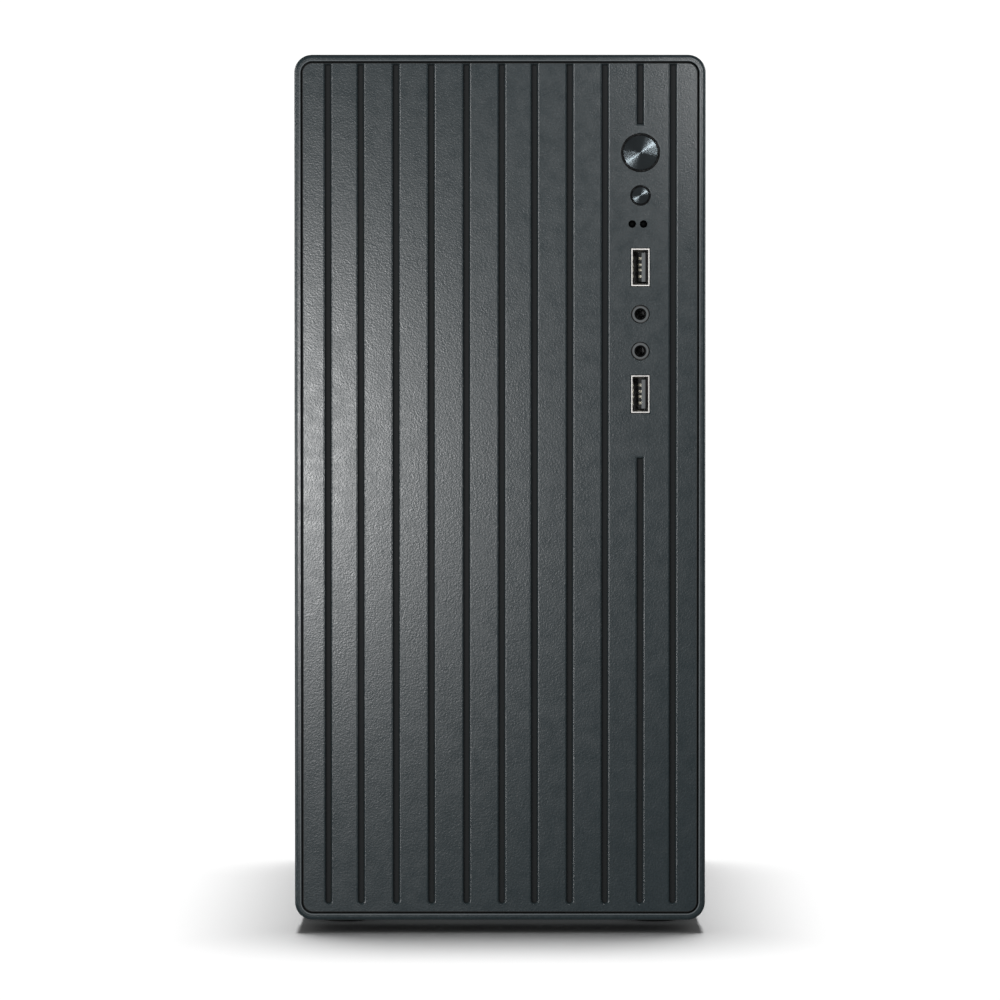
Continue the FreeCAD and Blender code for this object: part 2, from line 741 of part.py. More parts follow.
def make_rear_panel():
    y = (rear_in, d.shell_back)
    through = (rear_in - 1, d.shell_back + 1)
    wall = upright_wall(y, (rear_in - d.fold, d.shell_back))
    ledge = block((d.ledge_x, d.ledge_x + d.steel), (rear_in - 12, rear_in + 0.1), (10, 90))
    psu_window = block((-66, 66), through, (d.psu_bottom + 5, psu_top - 4))
    io_window = block((d.window_x, d.window_x + d.window_wide), through,
                      (d.window_z, d.window_z + d.window_tall))
    tools = [psu_window, io_window]
    for z in slot_heights():
        tools.append(block((d.slot_left, d.slot_right), through, around(z, d.slot_tall)))
    for place in thumb_places():
        tools.append(rod("y", d.screw_hole, through, place))
    for place in fan_screws(d.fan_x, d.fan_z):
        tools.append(rod("y", d.screw_hole, through, place))
    for place in psu_screws():
        tools.append(rod("y", d.screw_hole, through, place))
    grille = make_grille(through, (d.fan_x, d.fan_z))
    ledge_holes = [rod("x", d.screw_hole, (d.ledge_x - 1, d.ledge_x + 2), (rear_in - 6, z))
                   for z in slot_heights()]
    return cut(fuse(wall, ledge), *tools, grille, *ledge_holes)


def make_grille(through, centre):
    """The air openings in front of a fan: rings, with two crossed spokes left standing."""
    rings = []
    for inner, outer in ((6, 12), (15, 21), (24, 30), (33, 38)):
        rings.append(cut(rod("y", outer, through, centre), rod("y", inner, through, centre)))
    reach = 50
    thick = 3.2
    spokes = []
    for angle in (45, 135):
        spoke = block((-reach, reach), through, around(0, thick))
        middle = (centre[0], through[0], centre[1])
        spokes.append(swing(spoke, angle, Vector(reach, 0, thick / 2), middle))
    return cut(cut(group(*rings), spokes[0]), spokes[1])


def make_tray():
    """The plate that carries the mainboard, with its ends folded on to the walls."""
    sheet_x = (d.tray_x, d.tray_x + d.steel)
    plate = block(sheet_x, (wall_back + 0.1, rear_in - 0.1), (pan_top + 0.9, d.tray_top))
    foot = block((d.tray_x - 9, d.tray_x + d.steel), (wall_back + 0.1, wall_back + 0.1 + d.steel),
                 (pan_top + 12, d.tray_top))
    tools = []
    for z in (60, 150):
        tools.append(block((d.tray_x - 1, d.tray_x + 2), (-86, -58), around(z, 46)))
    tools.append(block((d.tray_x - 1, d.tray_x + 2), (32, 92), around(d.cooler_z, 60)))
    for place in board_holes():
        tools.append(rod("x", d.screw_hole, (d.tray_x - 1, d.tray_x + 2), place))
    return cut(fuse(plate, foot), *tools)


def foot_places():
    return [(sign * d.foot_x, y) for y in (d.foot_front, d.foot_back) for sign in (-1, 1)]


def make_feet():
    """Four tapered rubber feet, each with a counterbore for its screw."""
    feet = []
    for place in foot_places():
        body = cone("z", (d.foot_radius - 1.5, d.foot_radius), (0, d.pan_bottom), place)
        bore = rod("z", d.screw_hole, (2.5, d.pan_bottom + 1), place)
        sink = rod("z", 4, (-1, 3), place)
        feet.append(cut(body, fuse(bore, sink)))
    return group(*feet)


def slot_heights():
    return [d.slot_first_z - d.slot_pitch * number for number in range(4)]


def make_slot_covers():
    """Four blanking plates inside the rear panel, each with a tab folded on to the ledge."""
    covers = []
    tab_x = (d.ledge_x + d.steel + 0.1, d.ledge_x + 2 * d.steel + 0.1)
    for z in slot_heights():
        plate_y = (rear_in - d.steel - 0.1, rear_in - 0.1)
        plate = block((tab_x[0], d.slot_right + 3), plate_y, around(z, 18.4))
        tab = block(tab_x, (rear_in - 12, plate_y[1]), around(z, 18.4))
        hole = rod("x", d.screw_hole, (tab_x[0] - 1, tab_x[1] + 1), (rear_in - 6, z))
        covers.append(cut(fuse(plate, tab), hole))
    return group(*covers)


def thumb_places():
    heights = (d.thumb_low_z, d.thumb_high_z)
    return [(sign * d.thumb_x, z) for sign in (-1, 1) for z in heights]


def make_chassis():
    keep(make_front_wall(), "front_wall")
    keep(make_bottom_pan(), "bottom_pan")
    keep(make_top_panel(), "top_panel")
    keep(make_rear_panel(), "rear_panel")
    keep(make_tray(), "motherboard_tray")
    keep(make_feet(), "rubber_feet")
    keep(make_slot_covers(), "slot_covers")


# ------------------------------------------------------------ side panels

def make_side_panel(sign, vented):
    """A sheet with lips along the top and bottom and a folded edge behind the rear panel."""
    low = pan_top + 0.2
    high = roof_bottom - 0.2
    fold_back = flange_back + d.steel

    def place(span):
        return span if sign > 0 else mirrored(span)

    skin = block(place((skin_in, skin_out)), (wall_front, fold_back), (low, high))
    lips = [
        block(place((skin_in - 2, skin_in + 0.1)), (wall_front + 2, rear_in - 1), (high - d.steel, high)),
        block(place((skin_in - 2, skin_in + 0.1)), (wall_front + 2, rear_in - 1), (low, low + d.steel)),
    ]
    rear_fold = block(place((side - 7.3, skin_out)), (flange_back, fold_back), (low, high))
    sheet_metal = fuse(skin, *lips, rear_fold)
    corner = skin_out.value
    outside = rounded(sheet_metal, d.steel + 0.2, lambda edge: runs(edge, "z") and
                      lies(edge, "x", sign * corner) and lies(edge, "y", fold_back))
    tools = []
    for x, z in thumb_places():
        if (x.value > 0) == (sign > 0):
            tools.append(rod("y", d.screw_hole, (flange_back - 1, fold_back + 1), (x, z)))
    if vented:
        tools += vent_holes(place((skin_in - 1, skin_out + 1)))
    return cut(outside, *tools)


def vent_holes(through):
    """A round field of holes beside the processor's fan, in staggered rows."""
    pitch = 9
    holes = []
    for row in range(-4, 5):
        for column in range(-5, 6):
            y = pitch * (column + 0.5 * (row % 2))
            z = pitch * 0.866 * row
            if math.hypot(y, z) < 38:
                holes.append(rod("x", 2.8, through, (d.cooler_y + y, d.cooler_z + z)))
    return holes


def make_thumbscrew(place):
    """A captive screw with a slotted, grooved head."""
    head = (flange_back + d.steel, back)
    knob = turned("y", place, [
        (head[0], 0), (head[0], d.thumb_radius), (head[0] + 2.6, d.thumb_radius),
        (head[0] + 2.8, d.thumb_radius - 0.5), (head[0] + 3.6, d.thumb_radius - 0.5),
        (head[0] + 3.8, d.thumb_radius), (head[1] - 0.6, d.thumb_radius),
        (head[1], d.thumb_radius - 0.6), (head[1], 0)])
    shank = rod("y", d.screw_radius, (rear_in - 5, head[0] + 1), place)
    slot = block(around(place[0], 1.2), (head[1] - 1.5, head[1] + 1), around(place[1], 12))
    return cut(fuse(knob, shank), slot)


def make_side_panels():
    keep(make_side_panel(-1, vented=True), "left_side_panel")
    keep(make_side_panel(1, vented=False), "right_side_panel")
    names = ("left_lower", "left_upper", "right_lower", "right_upper")
    for name, place in zip(names, thumb_places()):
        keep(make_thumbscrew(place), f"{name}_thumbscrew")


# ------------------------------------------------------------ screws

def make_screw(axis, place, centre, length, sign=1):
    """A cross-head screw whose head sits at a place and whose shank runs on along the axis."""
    head = (place - d.screw_head_tall, place)
    shank = (place - 0.1, place + length)
    if sign < 0:
        head = (place, place + d.screw_head_tall)
        shank = (place - length, place + 0.1)
    solid = fuse(rod(axis, d.screw_head, head, centre), rod(axis, d.screw_radius, shank, centre))
    outside = head[0] if sign > 0 else head[1]
    recess = (outside - 0.3, outside + 1.1) if sign > 0 else (outside - 1.1, outside + 0.3)
    spans = {axis: recess}
    bars = []
    for long_axis, short_axis in (ACROSS[axis], ACROSS[axis][::-1]):
        centres = dict(zip(ACROSS[axis], centre))
        spans[long_axis] = around(centres[long_axis], 3.8)
        spans[short_axis] = around(centres[short_axis], 0.8)
        bars.append(block(spans["x"], spans["y"], spans["z"]))
    return cut(solid, fuse(*bars))


def fan_screws(x, z):
    half = d.fan_pitch / 2
    return [(x + across * half, z + up * half) for across in (-1, 1) for up in (-1, 1)]


def psu_screws():
    return [(sign * (d.psu_half - 6), z) for sign in (-1, 1) for z in (d.psu_bottom + 6, psu_top - 6)]


def make_case_screws():
    screws = []
    rear_screws = psu_screws() + fan_screws(d.fan_x, d.fan_z)
    screws += [make_screw("y", d.shell_back, place, 6, sign=-1) for place in rear_screws]
    screws += [make_screw("x", d.ledge_x, (rear_in - 6, z), 5) for z in slot_heights()]
    screws += [make_screw("x", d.board_x, place, 6) for place in board_holes()]
    screws += [make_screw("z", 3, place, 6) for place in foot_places()]
    screws += [make_screw("x", d.io_board_x + d.io_board_thick, place, 4, sign=-1) for place in io_screws()]
    right_arm = d.drive_left + d.drive_wide + d.gap + d.steel
    left_arm = d.drive_left - d.gap - d.steel
    screws += [make_screw("x", left_arm, place, 4) for place in drive_screws()]
    screws += [make_screw("x", right_arm, place, 4, sign=-1) for place in drive_screws()]
    return group(*screws)


# ------------------------------------------------------------ hard drive

def drive_screws():
    middle = d.drive_front + d.drive_thick / 2
    return [(middle, 50), (middle, 120)]


def make_drive_bracket():
    """A channel screwed to the front wall; the drive stands between its two arms."""
    arms = []
    web_y = (wall_back + 0.1, wall_back + 0.1 + d.steel)
    left = d.drive_left - d.gap
    right = d.drive_left + d.drive_wide + d.gap
    z = (d.drive_bottom + 2, d.drive_bottom + d.drive_long - 4)
    for x in ((left - d.steel, left), (right, right + d.steel)):
        arms.append(block(x, (web_y[0], d.drive_front + d.drive_thick), z))
    web = block((left - d.steel, right + d.steel), web_y, z)
    tools = [block((-30, 22), (web_y[0] - 1, web_y[1] + 1), (30, 140))]
    for place in drive_screws():
        tools.append(rod("x", d.screw_hole, (left - 2, left + 1), place))
        tools.append(rod("x", d.screw_hole, (right - 1, right + 2), place))
    return cut(fuse(web, *arms), *tools)


def make_hard_drive():
    """A sealed 3.5 inch drive on its end: case, raised lid, motor boss and connector block."""
    x = (d.drive_left, d.drive_left + d.drive_wide)
    y = (d.drive_front, d.drive_front + d.drive_thick)
    z = (d.drive_bottom, d.drive_bottom + d.drive_long)
    case = block(x, (y[0] + 2, y[1] - 1.6), z)
    case = rounded(case, d.gap * 10, lambda edge: runs(edge, "y"))
    lid = block((x[0] + 3, x[1] - 3), (y[1] - 1.7, y[1]), (z[0] + 4, z[1] - 8))
    lid = rounded(lid, d.gap * 20, lambda edge: runs(edge, "y"))
    board = block((x[0] + 6, x[1] - 6), (y[0] + 0.4, y[0] + 2.1), (z[0] + 30, z[1]))
    motor = rod("y", 15, (y[0] + 0.8, y[0] + 2.1), (-4, z[0] + 92))
    solid = fuse(case, lid, cut(board, rod("y", 16, (y[0], y[0] + 2), (-4, z[0] + 92))), motor)
    tools = [rod("x", 1.7, (x[0] - 1, x[0] + 4), place) for place in drive_screws()]
    tools += [rod("x", 1.7, (x[1] - 4, x[1] + 1), place) for place in drive_screws()]
    tools += [block((-8, 16), (y[0] + 4, y[0] + 10), (z[1] - 6, z[1] + 1)),
              block((-28, -12), (y[0] + 4, y[0] + 10), (z[1] - 6, z[1] + 1))]
    return cut(solid, *tools)


def make_drive():
    keep(make_drive_bracket(), "drive_bracket")
    keep(make_hard_drive(), "hard_drive")


# ------------------------------------------------------------ fans

LYING = {
    "rear": FreeCAD.Rotation(Vector(1, 0, 0), 90),
    "left": FreeCAD.Rotation(Vector(0, 1, 0), -90),
}


def place_fan(part, turn, base):
    """Moves a fan part so that its outlet face lies at a place."""
    part.Placement = FreeCAD.Placement(Vector(), LYING[turn])
    for axis, place in zip("xyz", base):
        bind(part, f"Placement.Base.{axis}", place)
    return part


def make_fan_frame(posts=None):
    """A square fan frame about its own Z axis, outlet at z = 0, with bearing tube and coil."""
    half = mirrored_pair(d.fan_side / 2)
    deep = d.fan_deep
    flanges = [block(half, half, (0, 4)), block(half, half, (deep - 4, deep))]
    duct = rod("z", d.fan_side / 2 - 0.1, (0, deep), (0, 0))
    body = rounded(fuse(*flanges, duct), d.gap * 15, lambda edge: runs(edge, "z"))
    holes = []
    for place in fan_screws(0, 0):
        holes.append(rod("z", d.fan_hole, (-1, deep + 1), place))
    open_frame = cut(body, rod("z", d.fan_bore, (-1, deep + 1), (0, 0)), *holes)
    struts = [block(mirrored_pair(d.fan_bore + 1), (-1.5, 1.5), (0, 3)),
              block((-1.5, 1.5), mirrored_pair(d.fan_bore + 1), (0, 3))]
    plate = rod("z", d.fan_hub - 1, (0, 3), (0, 0))
    tube = rod("z", 4, (2.9, 17), (0, 0))
    coil = rod("z", d.fan_hub - 5, (4, 13), (0, 0))
    bearing = rod("z", d.fan_shaft + d.fan_fit, (3, 18), (0, 0))
    solids = [open_frame, *struts, plate, tube, coil]
    if posts is not None:
        foot = 37.5
        for across in (-foot, foot):
            for up in (-foot, foot):
                solids.append(rod("z", 2.1, (-posts, 1), (across, up)))
    return cut(fuse(*solids), bearing)


def make_fan_rotor():
    """A hub cup on a shaft with seven blades, about its own Z axis."""
    body = doc.addObject("PartDesign::Body", "rotor")
    hub = sketch(body, "XY_Plane", (0, 0, 5))
    circle(hub, (0, 0), d.fan_hub)
    pad(body, hub, d.fan_deep - 7)
    soften(body, d.gap * 5, lambda edge: lies(edge, "z", d.fan_deep - 2))
    root = sketch(body, "YZ_Plane", (0, 0, d.fan_hub - 1))
    polygon(root, [(-8, 7), (-7, 6), (8, 20), (7, 21)])
    tip = sketch(body, "YZ_Plane", (0, 0, d.fan_tip - 1.4))
    polygon(tip, [(-12.3, 10), (-11.8, 9), (12.3, 17), (11.8, 18)])
    blade = body.newObject("PartDesign::AdditiveLoft", "blade")
    blade.Profile = root
    blade.Sections = [tip]
    blades = body.newObject("PartDesign::PolarPattern", "blades")
    blades.Originals = [blade]
    blades.Axis = (origin_feature(body, "Z_Axis"), [""])
    blades.Angle = 360
    blades.Occurrences = 7
    body.Tip = blades
    cup = sketch(body, "XY_Plane", (0, 0, 5))
    circle(cup, (0, 0), d.fan_hub - 2)
    pocket(body, cup, d.fan_deep - 9, backward=True)
    shaft = sketch(body, "XY_Plane", (0, 0, 3.4))
    circle(shaft, (0, 0), d.fan_shaft)
    pad(body, shaft, d.fan_deep - 7)
    return body


def make_fans():
    rear_base = (d.fan_x, rear_in - 0.1, d.fan_z)
    psu_base = (d.psu_fan_x, rear_in - d.steel, psu_middle)
    cpu_base = (cooler_back, d.cooler_y, d.cooler_z)
    keep(place_fan(make_fan_frame(), "rear", rear_base), "rear_fan_frame")
    keep(place_fan(make_fan_rotor(), "rear", rear_base), "rear_fan_rotor")
    keep(place_fan(make_fan_frame(), "rear", psu_base), "psu_fan_frame")
    keep(place_fan(make_fan_rotor(), "rear", psu_base), "psu_fan_rotor")
    posts = d.board_x - cooler_back
    keep(place_fan(make_fan_frame(posts), "left", cpu_base), "cpu_fan_frame")
    keep(place_fan(make_fan_rotor(), "left", cpu_base), "cpu_fan_rotor")


# ------------------------------------------------------------ mainboard

cooler_back = d.board_x - 40
psu_middle = d.psu_bottom + d.psu_tall / 2


def board_holes():
    return [(y, z) for z in (30.5, 135, 244) for y in (-38, 44, 118)]


def board_part(height, y, z):
    """A box that stands on the board's face, towards -X."""
    return block((d.board_x - height, d.board_x), y, z)


def make_board():
    sheet_x = (d.board_x, d.board_x + d.board_thick)
    plate = block(sheet_x, (d.board_front, d.board_back), (d.board_bottom, d.board_top))
    holes = [rod("x", d.screw_hole, (sheet_x[0] - 1, sheet_x[1] + 1), place) for place in board_holes()]
    return cut(plate, *holes)


def make_standoffs():
    """Threaded pillars between the tray and the board."""
    pillars = []
    face = d.board_x + d.board_thick
    for place in board_holes():
        pillar = rod("x", 2.9, (face, d.tray_x), place)
        stud = rod("x", d.screw_radius, (d.tray_x - 0.1, d.tray_x + 3), place)
        thread = rod("x", d.screw_radius, (face - 0.1, face + 5), place)
        pillars.append(cut(fuse(pillar, stud), thread))
    return group(*pillars)


def make_cpu_socket():
    y = around(d.cooler_y, 42)
    z = around(d.cooler_z, 42)
    frame = board_part(3.4, y, z)
    lid = block((d.board_x - 4.9, d.board_x - 3.3), around(d.cooler_y, 30), around(d.cooler_z, 30))
    lever = rod("z", 0.9, (z[0] + 2, z[1] + 5), (d.board_x - 1.6, y[1] + 1.6))
    return fuse(frame, lid, lever, board_part(3, (y[1] - 1, y[1] + 3), (z[0], z[0] + 6)))


def make_cpu_heatsink():
    """An aluminium stack: base, root plate and thin fins."""
    base_x = (cooler_back + 31, d.board_x - 5)
    base = block(base_x, around(d.cooler_y, 44), around(d.cooler_z, 44))
    root = block((base_x[0] - 3, base_x[0] + 0.1), around(d.cooler_y, 66), around(d.cooler_z, 66))
    fins = []
    count = 16
    pitch = (66 - 0.8) / (count - 1)
    for number in range(count):
        low = d.cooler_z - 33 + pitch * number
        fins.append(block((cooler_back + 0.4, base_x[0] - 2.9), around(d.cooler_y, 66), (low, low + 0.8)))
    return fuse(base, root, *fins)


def memory_places():
    return (8, -2)


def make_memory_slots():
    slots = []
    z = (108, 246)
    for y in memory_places():
        body = board_part(10, around(y, 7), z)
        ends = [board_part(17, around(y, 5), span) for span in ((z[0], z[0] + 4), (z[1] - 4, z[1]))]
        groove = block((d.board_x - 18, d.board_x - 5), around(y, 1.6), (z[0] + 2, z[1] - 2))
        slots.append(cut(fuse(body, *ends), groove))
    return group(*slots)


def make_memory_modules():
    modules = []
    z = (110.4, 243.6)
    for y in memory_places():
        board = block((d.board_x - 35, d.board_x - 5.2), around(y, 1.2), z)
        chips = []
        for number in range(8):
            low = z[0] + 6 + 15.6 * number
            chips.append(block((d.board_x - 30, d.board_x - 19), around(y, 3.4), (low, low + 9.5)))
        modules.append(fuse(board, *chips))
    return group(*modules)


def make_expansion_sockets():
    """Card sockets in line with the rear slots: two long ones and a short one between them."""
    sockets = []
    rear_end = 127
    for z, length in zip(slot_heights(), (89, 25, 89)):
        body = board_part(11, (rear_end - length, rear_end), around(z, 7.4))
        groove = block((d.board_x - 12, d.board_x - 3), (rear_end - length + 2, rear_end - 2), around(z, 1.8))
        sockets.append(cut(body, groove))
    return group(*sockets)


def make_chipset_heatsink():
    y = around(-10, 36)
    z = around(75, 36)
    base = board_part(4, y, z)
    fins = [board_part(14, y, (z[0] + 4 * number, z[0] + 4 * number + 1.4)) for number in range(9)]
    return fuse(base, *fins)


def make_cmos_battery():
    centre = (24, 98)
    holder = rod("x", 11.2, (d.board_x - 1.4, d.board_x), centre)
    coin = rod("x", 10, (d.board_x - 4.6, d.board_x - 1.4), centre)
    return group(holder, coin)


def make_board_sockets():
    """The 24-way power socket, three drive data sockets and the front panel pin header."""
    power = board_part(12, (-40.5, -31.5), (170.2, 221.8))
    data = [board_part(9, around(-38, 5), around(z, 16)) for z in (72, 94, 116)]
    header = board_part(6, around(-38.5, 5), around(49, 10))
    return group(power, *data, header)


def port_sizes():
    """Each rear port: the middle of it up the board, its width, and its height off the board."""
    return {"keyboard": (240, 14, 13), "usb_high": (224, 13.2, 15.2), "network": (205, 16.6, 29.4),
            "monitor": (176, 30.8, 12.6), "video": (150, 16, 7), "usb_low": (128, 13.2, 15.2)}


def make_rear_ports():
    """Plated shells with their mouths open to the rear, each with the tongue inside it."""
    face = d.shell_back + 1.2
    deep = (face - 12, face + 1)
    ports = []
    for kind, (z, wide, tall) in port_sizes().items():
        shell = block((d.board_x - tall, d.board_x), (124, face), around(z, wide))
        middle = d.board_x - tall / 2
        if kind == "keyboard":
            port = fuse(cut(shell, rod("y", 5, deep, (middle, z))),
                        block(around(middle, 4), (face - 13, face - 2), around(z, 4)))
        elif kind == "monitor":
            port = fuse(cut(shell, block(around(middle, 8), deep, around(z, 17))),
                        block(around(middle, 6), (face - 13, face - 1), around(z, 15)),
                        *[rod("y", 2.4, (face - 1, face + 4), (middle, z + step)) for step in (-12.5, 12.5)])
        elif kind == "video":
            port = fuse(cut(shell, block(around(middle, 4.8), deep, around(z, 14))),
                        block(around(middle, 1.6), (face - 13, face - 1), around(z, 11)))
        else:
            low_ports = [d.board_x - 4, d.board_x - 11.2]
            mouths = [block(around(x, 5.1), deep, around(z, 12.2)) for x in low_ports]
            tongues = [block(around(x - 1.2, 1.8), (face - 13, face - 1), around(z, 11)) for x in low_ports]
            if kind == "network":
                mouths.append(block(around(d.board_x - 22, 11.6), deep, around(z, 13)))
            port = fuse(cut(shell, *mouths), *tongues)
        ports.append(port)
    return group(*ports)


def audio_places():
    z = 106
    return [(d.board_x - 6 - 11.6 * number, z) for number in range(3)]


def make_rear_audio():
    """Three sockets against each other, each a block with a collar that comes through the shield."""
    face = d.shell_back + 1.2
    pitch = 11.6
    sockets = []
    for x, z in audio_places():
        body = block(around(x, pitch), (126, face - 1.6), around(z, 13))
        collar = rod("y", 4.1, (face - 2, face), (x, z))
        bore = rod("y", d.jack_bore, (face - 15, face + 1), (x, z))
        sockets.append(cut(fuse(body, collar), bore))
    return group(*sockets)


def make_io_shield():
    """A thin tray that fills the rear window round the ports."""
    thin = 0.4
    x = (d.window_x, d.window_x + d.window_wide)
    z = (d.window_z, d.window_z + d.window_tall)
    flange = block((x[0] - 1.2, x[1] + 1), (rear_in - thin, rear_in), (z[0] - 1, z[1] + 1))
    step = block((x[0] + 0.2, x[1] - 0.2), (rear_in - 0.1, d.shell_back + 0.6), (z[0] + 0.2, z[1] - 0.2))
    hollow = block((x[0] + 0.6, x[1] - 0.6), (rear_in - 1, d.shell_back + 0.2), (z[0] + 0.6, z[1] - 0.6))
    through = (rear_in - 2, d.shell_back + 2)
    holes = [block((d.board_x - tall - 0.3, d.board_x + 0.3), through, around(z, wide + 0.6))
             for z, wide, tall in port_sizes().values()]
    holes += [rod("y", 4.4, through, place) for place in audio_places()]
    return cut(cut(fuse(flange, step), hollow), *holes)


def make_mainboard():
    keep(make_board(), "motherboard")
    keep(make_standoffs(), "board_standoffs")
    keep(make_cpu_socket(), "cpu_socket")
    keep(make_cpu_heatsink(), "cpu_heatsink")
    keep(make_memory_slots(), "memory_slots")
    keep(make_memory_modules(), "memory_modules")
    keep(make_expansion_sockets(), "expansion_sockets")
    keep(make_chipset_heatsink(), "chipset_heatsink")
    keep(make_cmos_battery(), "cmos_battery")
    keep(make_board_sockets(), "board_sockets")
    keep(make_rear_ports(), "rear_io_ports")
    keep(make_rear_audio(), "rear_audio_jacks")
    keep(make_io_shield(), "io_shield")


# ------------------------------------------------------------ power supply

def make_psu_base():
    """The lower shell: floor, rear plate with its openings, and front plate with its vents."""
    half = mirrored_pair(d.psu_half - d.steel - 0.1)
    floor = block(half, (psu_front, rear_in), (d.psu_bottom, d.psu_bottom + d.steel))
    upright_z = (d.psu_bottom, psu_top - d.steel - 0.1)
    rear = block(half, (rear_in - d.steel, rear_in), upright_z)
    near = block(half, (psu_front, psu_front + d.steel), upright_z)
    through = (rear_in - 2, rear_in + 1)
    tools = [rod("y", 36, through, (d.psu_fan_x, psu_middle)),
             block(around(d.inlet_x, 28.2), through, around(d.inlet_z, 22.2)),
             block(around(d.inlet_x, 21.2), through, around(d.rocker_z, 13.2))]
    for place in psu_screws() + fan_screws(d.psu_fan_x, psu_middle):
        tools.append(rod("y", d.screw_hole, through, place))
    vents_y = (psu_front - 1, psu_front + 2)
    for column in range(14):
        tools.append(block(around(-58 + 6.4 * column, 3), vents_y, (d.psu_bottom + 22, psu_top - 16)))
    tools.append(rod("y", 9, vents_y, (43, d.psu_bottom + 20)))
    return cut(fuse(floor, rear, near), *tools)


def make_psu_cover():
    """The upper shell: roof and two sides."""
    y = (psu_front, rear_in)
    roof = block(mirrored_pair(d.psu_half), y, (psu_top - d.steel, psu_top))
    walls = []
    for span in ((d.psu_half - d.steel, d.psu_half), (-d.psu_half, -d.psu_half + d.steel)):
        walls.append(block(span, y, (d.psu_bottom, psu_top - 0.1)))
    return fuse(roof, *walls)


def make_psu_board():
    """The power supply's board on four posts, with transformer, coolers, capacitors and coil."""
    low = d.psu_bottom + 6
    high = low + 1.6
    board = block((-70, 70), (psu_front + 6, psu_front + 106), (low, high))
    posts = [rod("z", 3, (d.psu_bottom + d.steel, low + 0.1), (x, psu_front + y))
             for x in (-64, 64) for y in (12, 100)]
    transformer = block((-14, 20), (psu_front + 44, psu_front + 72), (high - 0.1, high + 32))
    coolers = []
    for x in (-38, 34):
        coolers.append(block((x, x + 3), (psu_front + 20, psu_front + 92), (high - 0.1, high + 50)))
        for step in range(7):
            y = psu_front + 22 + 10.5 * step
            coolers.append(block((x - 7, x + 10), (y, y + 1.6), (high + 24, high + 50)))
    capacitors = [rod("z", 11, (high - 0.1, high + 34), (x, psu_front + 84)) for x in (-58, 58)]
    coil = rod("z", 12, (high - 0.1, high + 14), (4, psu_front + 24))
    return fuse(board, *posts, transformer, *coolers, *capacitors, coil)


def make_fan_guard():
    """Four wire rings on a cross of two flat bars, with an eye at each corner screw."""
    wire = 0.9
    y = rear_in + wire + 0.2
    solids = []
    for ring in (8, 17, 26, 35):
        solids.append(wire_ring(ring, wire, (d.psu_fan_x, y, psu_middle)))
    reach = d.fan_pitch / 2 * math.sqrt(2) - 2.6
    thick = 1.7
    for angle in (45, 135):
        spoke = block((-reach, reach), (y + wire / 2, y + 2 * wire), around(0, thick))
        middle = (d.psu_fan_x, y + wire / 2, psu_middle)
        solids.append(swing(spoke, angle, Vector(reach.value, 0, thick / 2), middle))
    for place in fan_screws(d.psu_fan_x, psu_middle):
        hole = rod("y", d.screw_hole, (y - wire, y + 3 * wire), place)
        eye = rod("y", d.screw_radius + 2 * wire, (y + wire / 2, y + 2 * wire), place)
        solids.append(cut(eye, hole))
    return fuse(*solids)


def wire_ring(radius, wire, centre):
    ring = doc.addObject("Part::Torus", "ring")
    ring.Placement = FreeCAD.Placement(Vector(), TURN["y"])
    bind(ring, "Radius1", radius)
    bind(ring, "Radius2", wire)
    for axis, place in zip("xyz", centre):
        bind(ring, f"Placement.Base.{axis}", place)
    return ring


def make_psu_inlet():
    """The mains inlet: a deep square socket with three flat pins."""
    body = block(around(d.inlet_x, 28), (rear_in - 17, rear_in + 0.1), around(d.inlet_z, 22))
    face = block(around(d.inlet_x, 31), (rear_in, rear_in + 1.8), around(d.inlet_z, 25))
    hollow = block(around(d.inlet_x, 24.4), (rear_in - 15, rear_in + 3), around(d.inlet_z, 16.6))
    pins = []
    for step, rise in ((-7, -2), (0, 2), (7, -2)):
        pins.append(block(around(d.inlet_x + step, 2), (rear_in - 16, rear_in - 3),
                          around(d.inlet_z + rise, 4)))
    return fuse(cut(fuse(body, face), hollow), *pins)


def rocker_y():
    return rear_in - 2.4


def make_switch_housing():
    body = block(around(d.inlet_x, 21), (rear_in - 13, rear_in + 0.1), around(d.rocker_z, 13))
    face = block(around(d.inlet_x, 24), (rear_in, rear_in + 1.3), around(d.rocker_z, 16))
    hollow = block(around(d.inlet_x, 18.6), (rear_in - 11, rear_in + 3), around(d.rocker_z, 10.6))
    pivot = rod("z", 1.25, around(d.rocker_z, 20), (d.inlet_x, rocker_y()))
    blind = (rear_in - 12, rear_in)
    ends = [block(around(d.inlet_x, 4), blind, span) for span in
            ((d.rocker_z - 6.5, d.rocker_z - 6.2), (d.rocker_z + 6.2, d.rocker_z + 6.5))]
    return fuse(cut(fuse(body, face), fuse(hollow, pivot)), *ends)


def make_rocker():
    """The rocker, tipped to its "on" side, on a pin that runs in the housing."""
    body = doc.addObject("PartDesign::Body", "rocker")
    drawn = sketch(body, "XY_Plane", (0, 0, -5))
    polygon(drawn, [(-8.4, 3.6), (0, 2.4), (8.4, 3.6), (7.6, -1.6), (3, -4.4), (-3, -4.4), (-7.6, -1.6)])
    pad(body, drawn, 10)
    pivot = sketch(body, "XY_Plane", (0, 0, -6))
    circle(pivot, (0, 0), 1.2)
    pad(body, pivot, 12)
    body.Placement = FreeCAD.Placement(Vector(), FreeCAD.Rotation(Vector(0, 0, 1), -10))
    for axis, place in zip("xyz", (d.inlet_x, rocker_y(), d.rocker_z)):
        bind(body, f"Placement.Base.{axis}", place)
    return body


def make_power_supply():
    keep(make_psu_base(), "psu_base")
    keep(make_psu_cover(), "psu_cover")
    keep(make_psu_board(), "psu_circuit_board")
    keep(make_fan_guard(), "psu_fan_guard")
    keep(make_psu_inlet(), "psu_inlet")
    keep(make_switch_housing(), "psu_switch_housing")
    keep(make_rocker(), "psu_rocker")


# ------------------------------------------------------------ cables

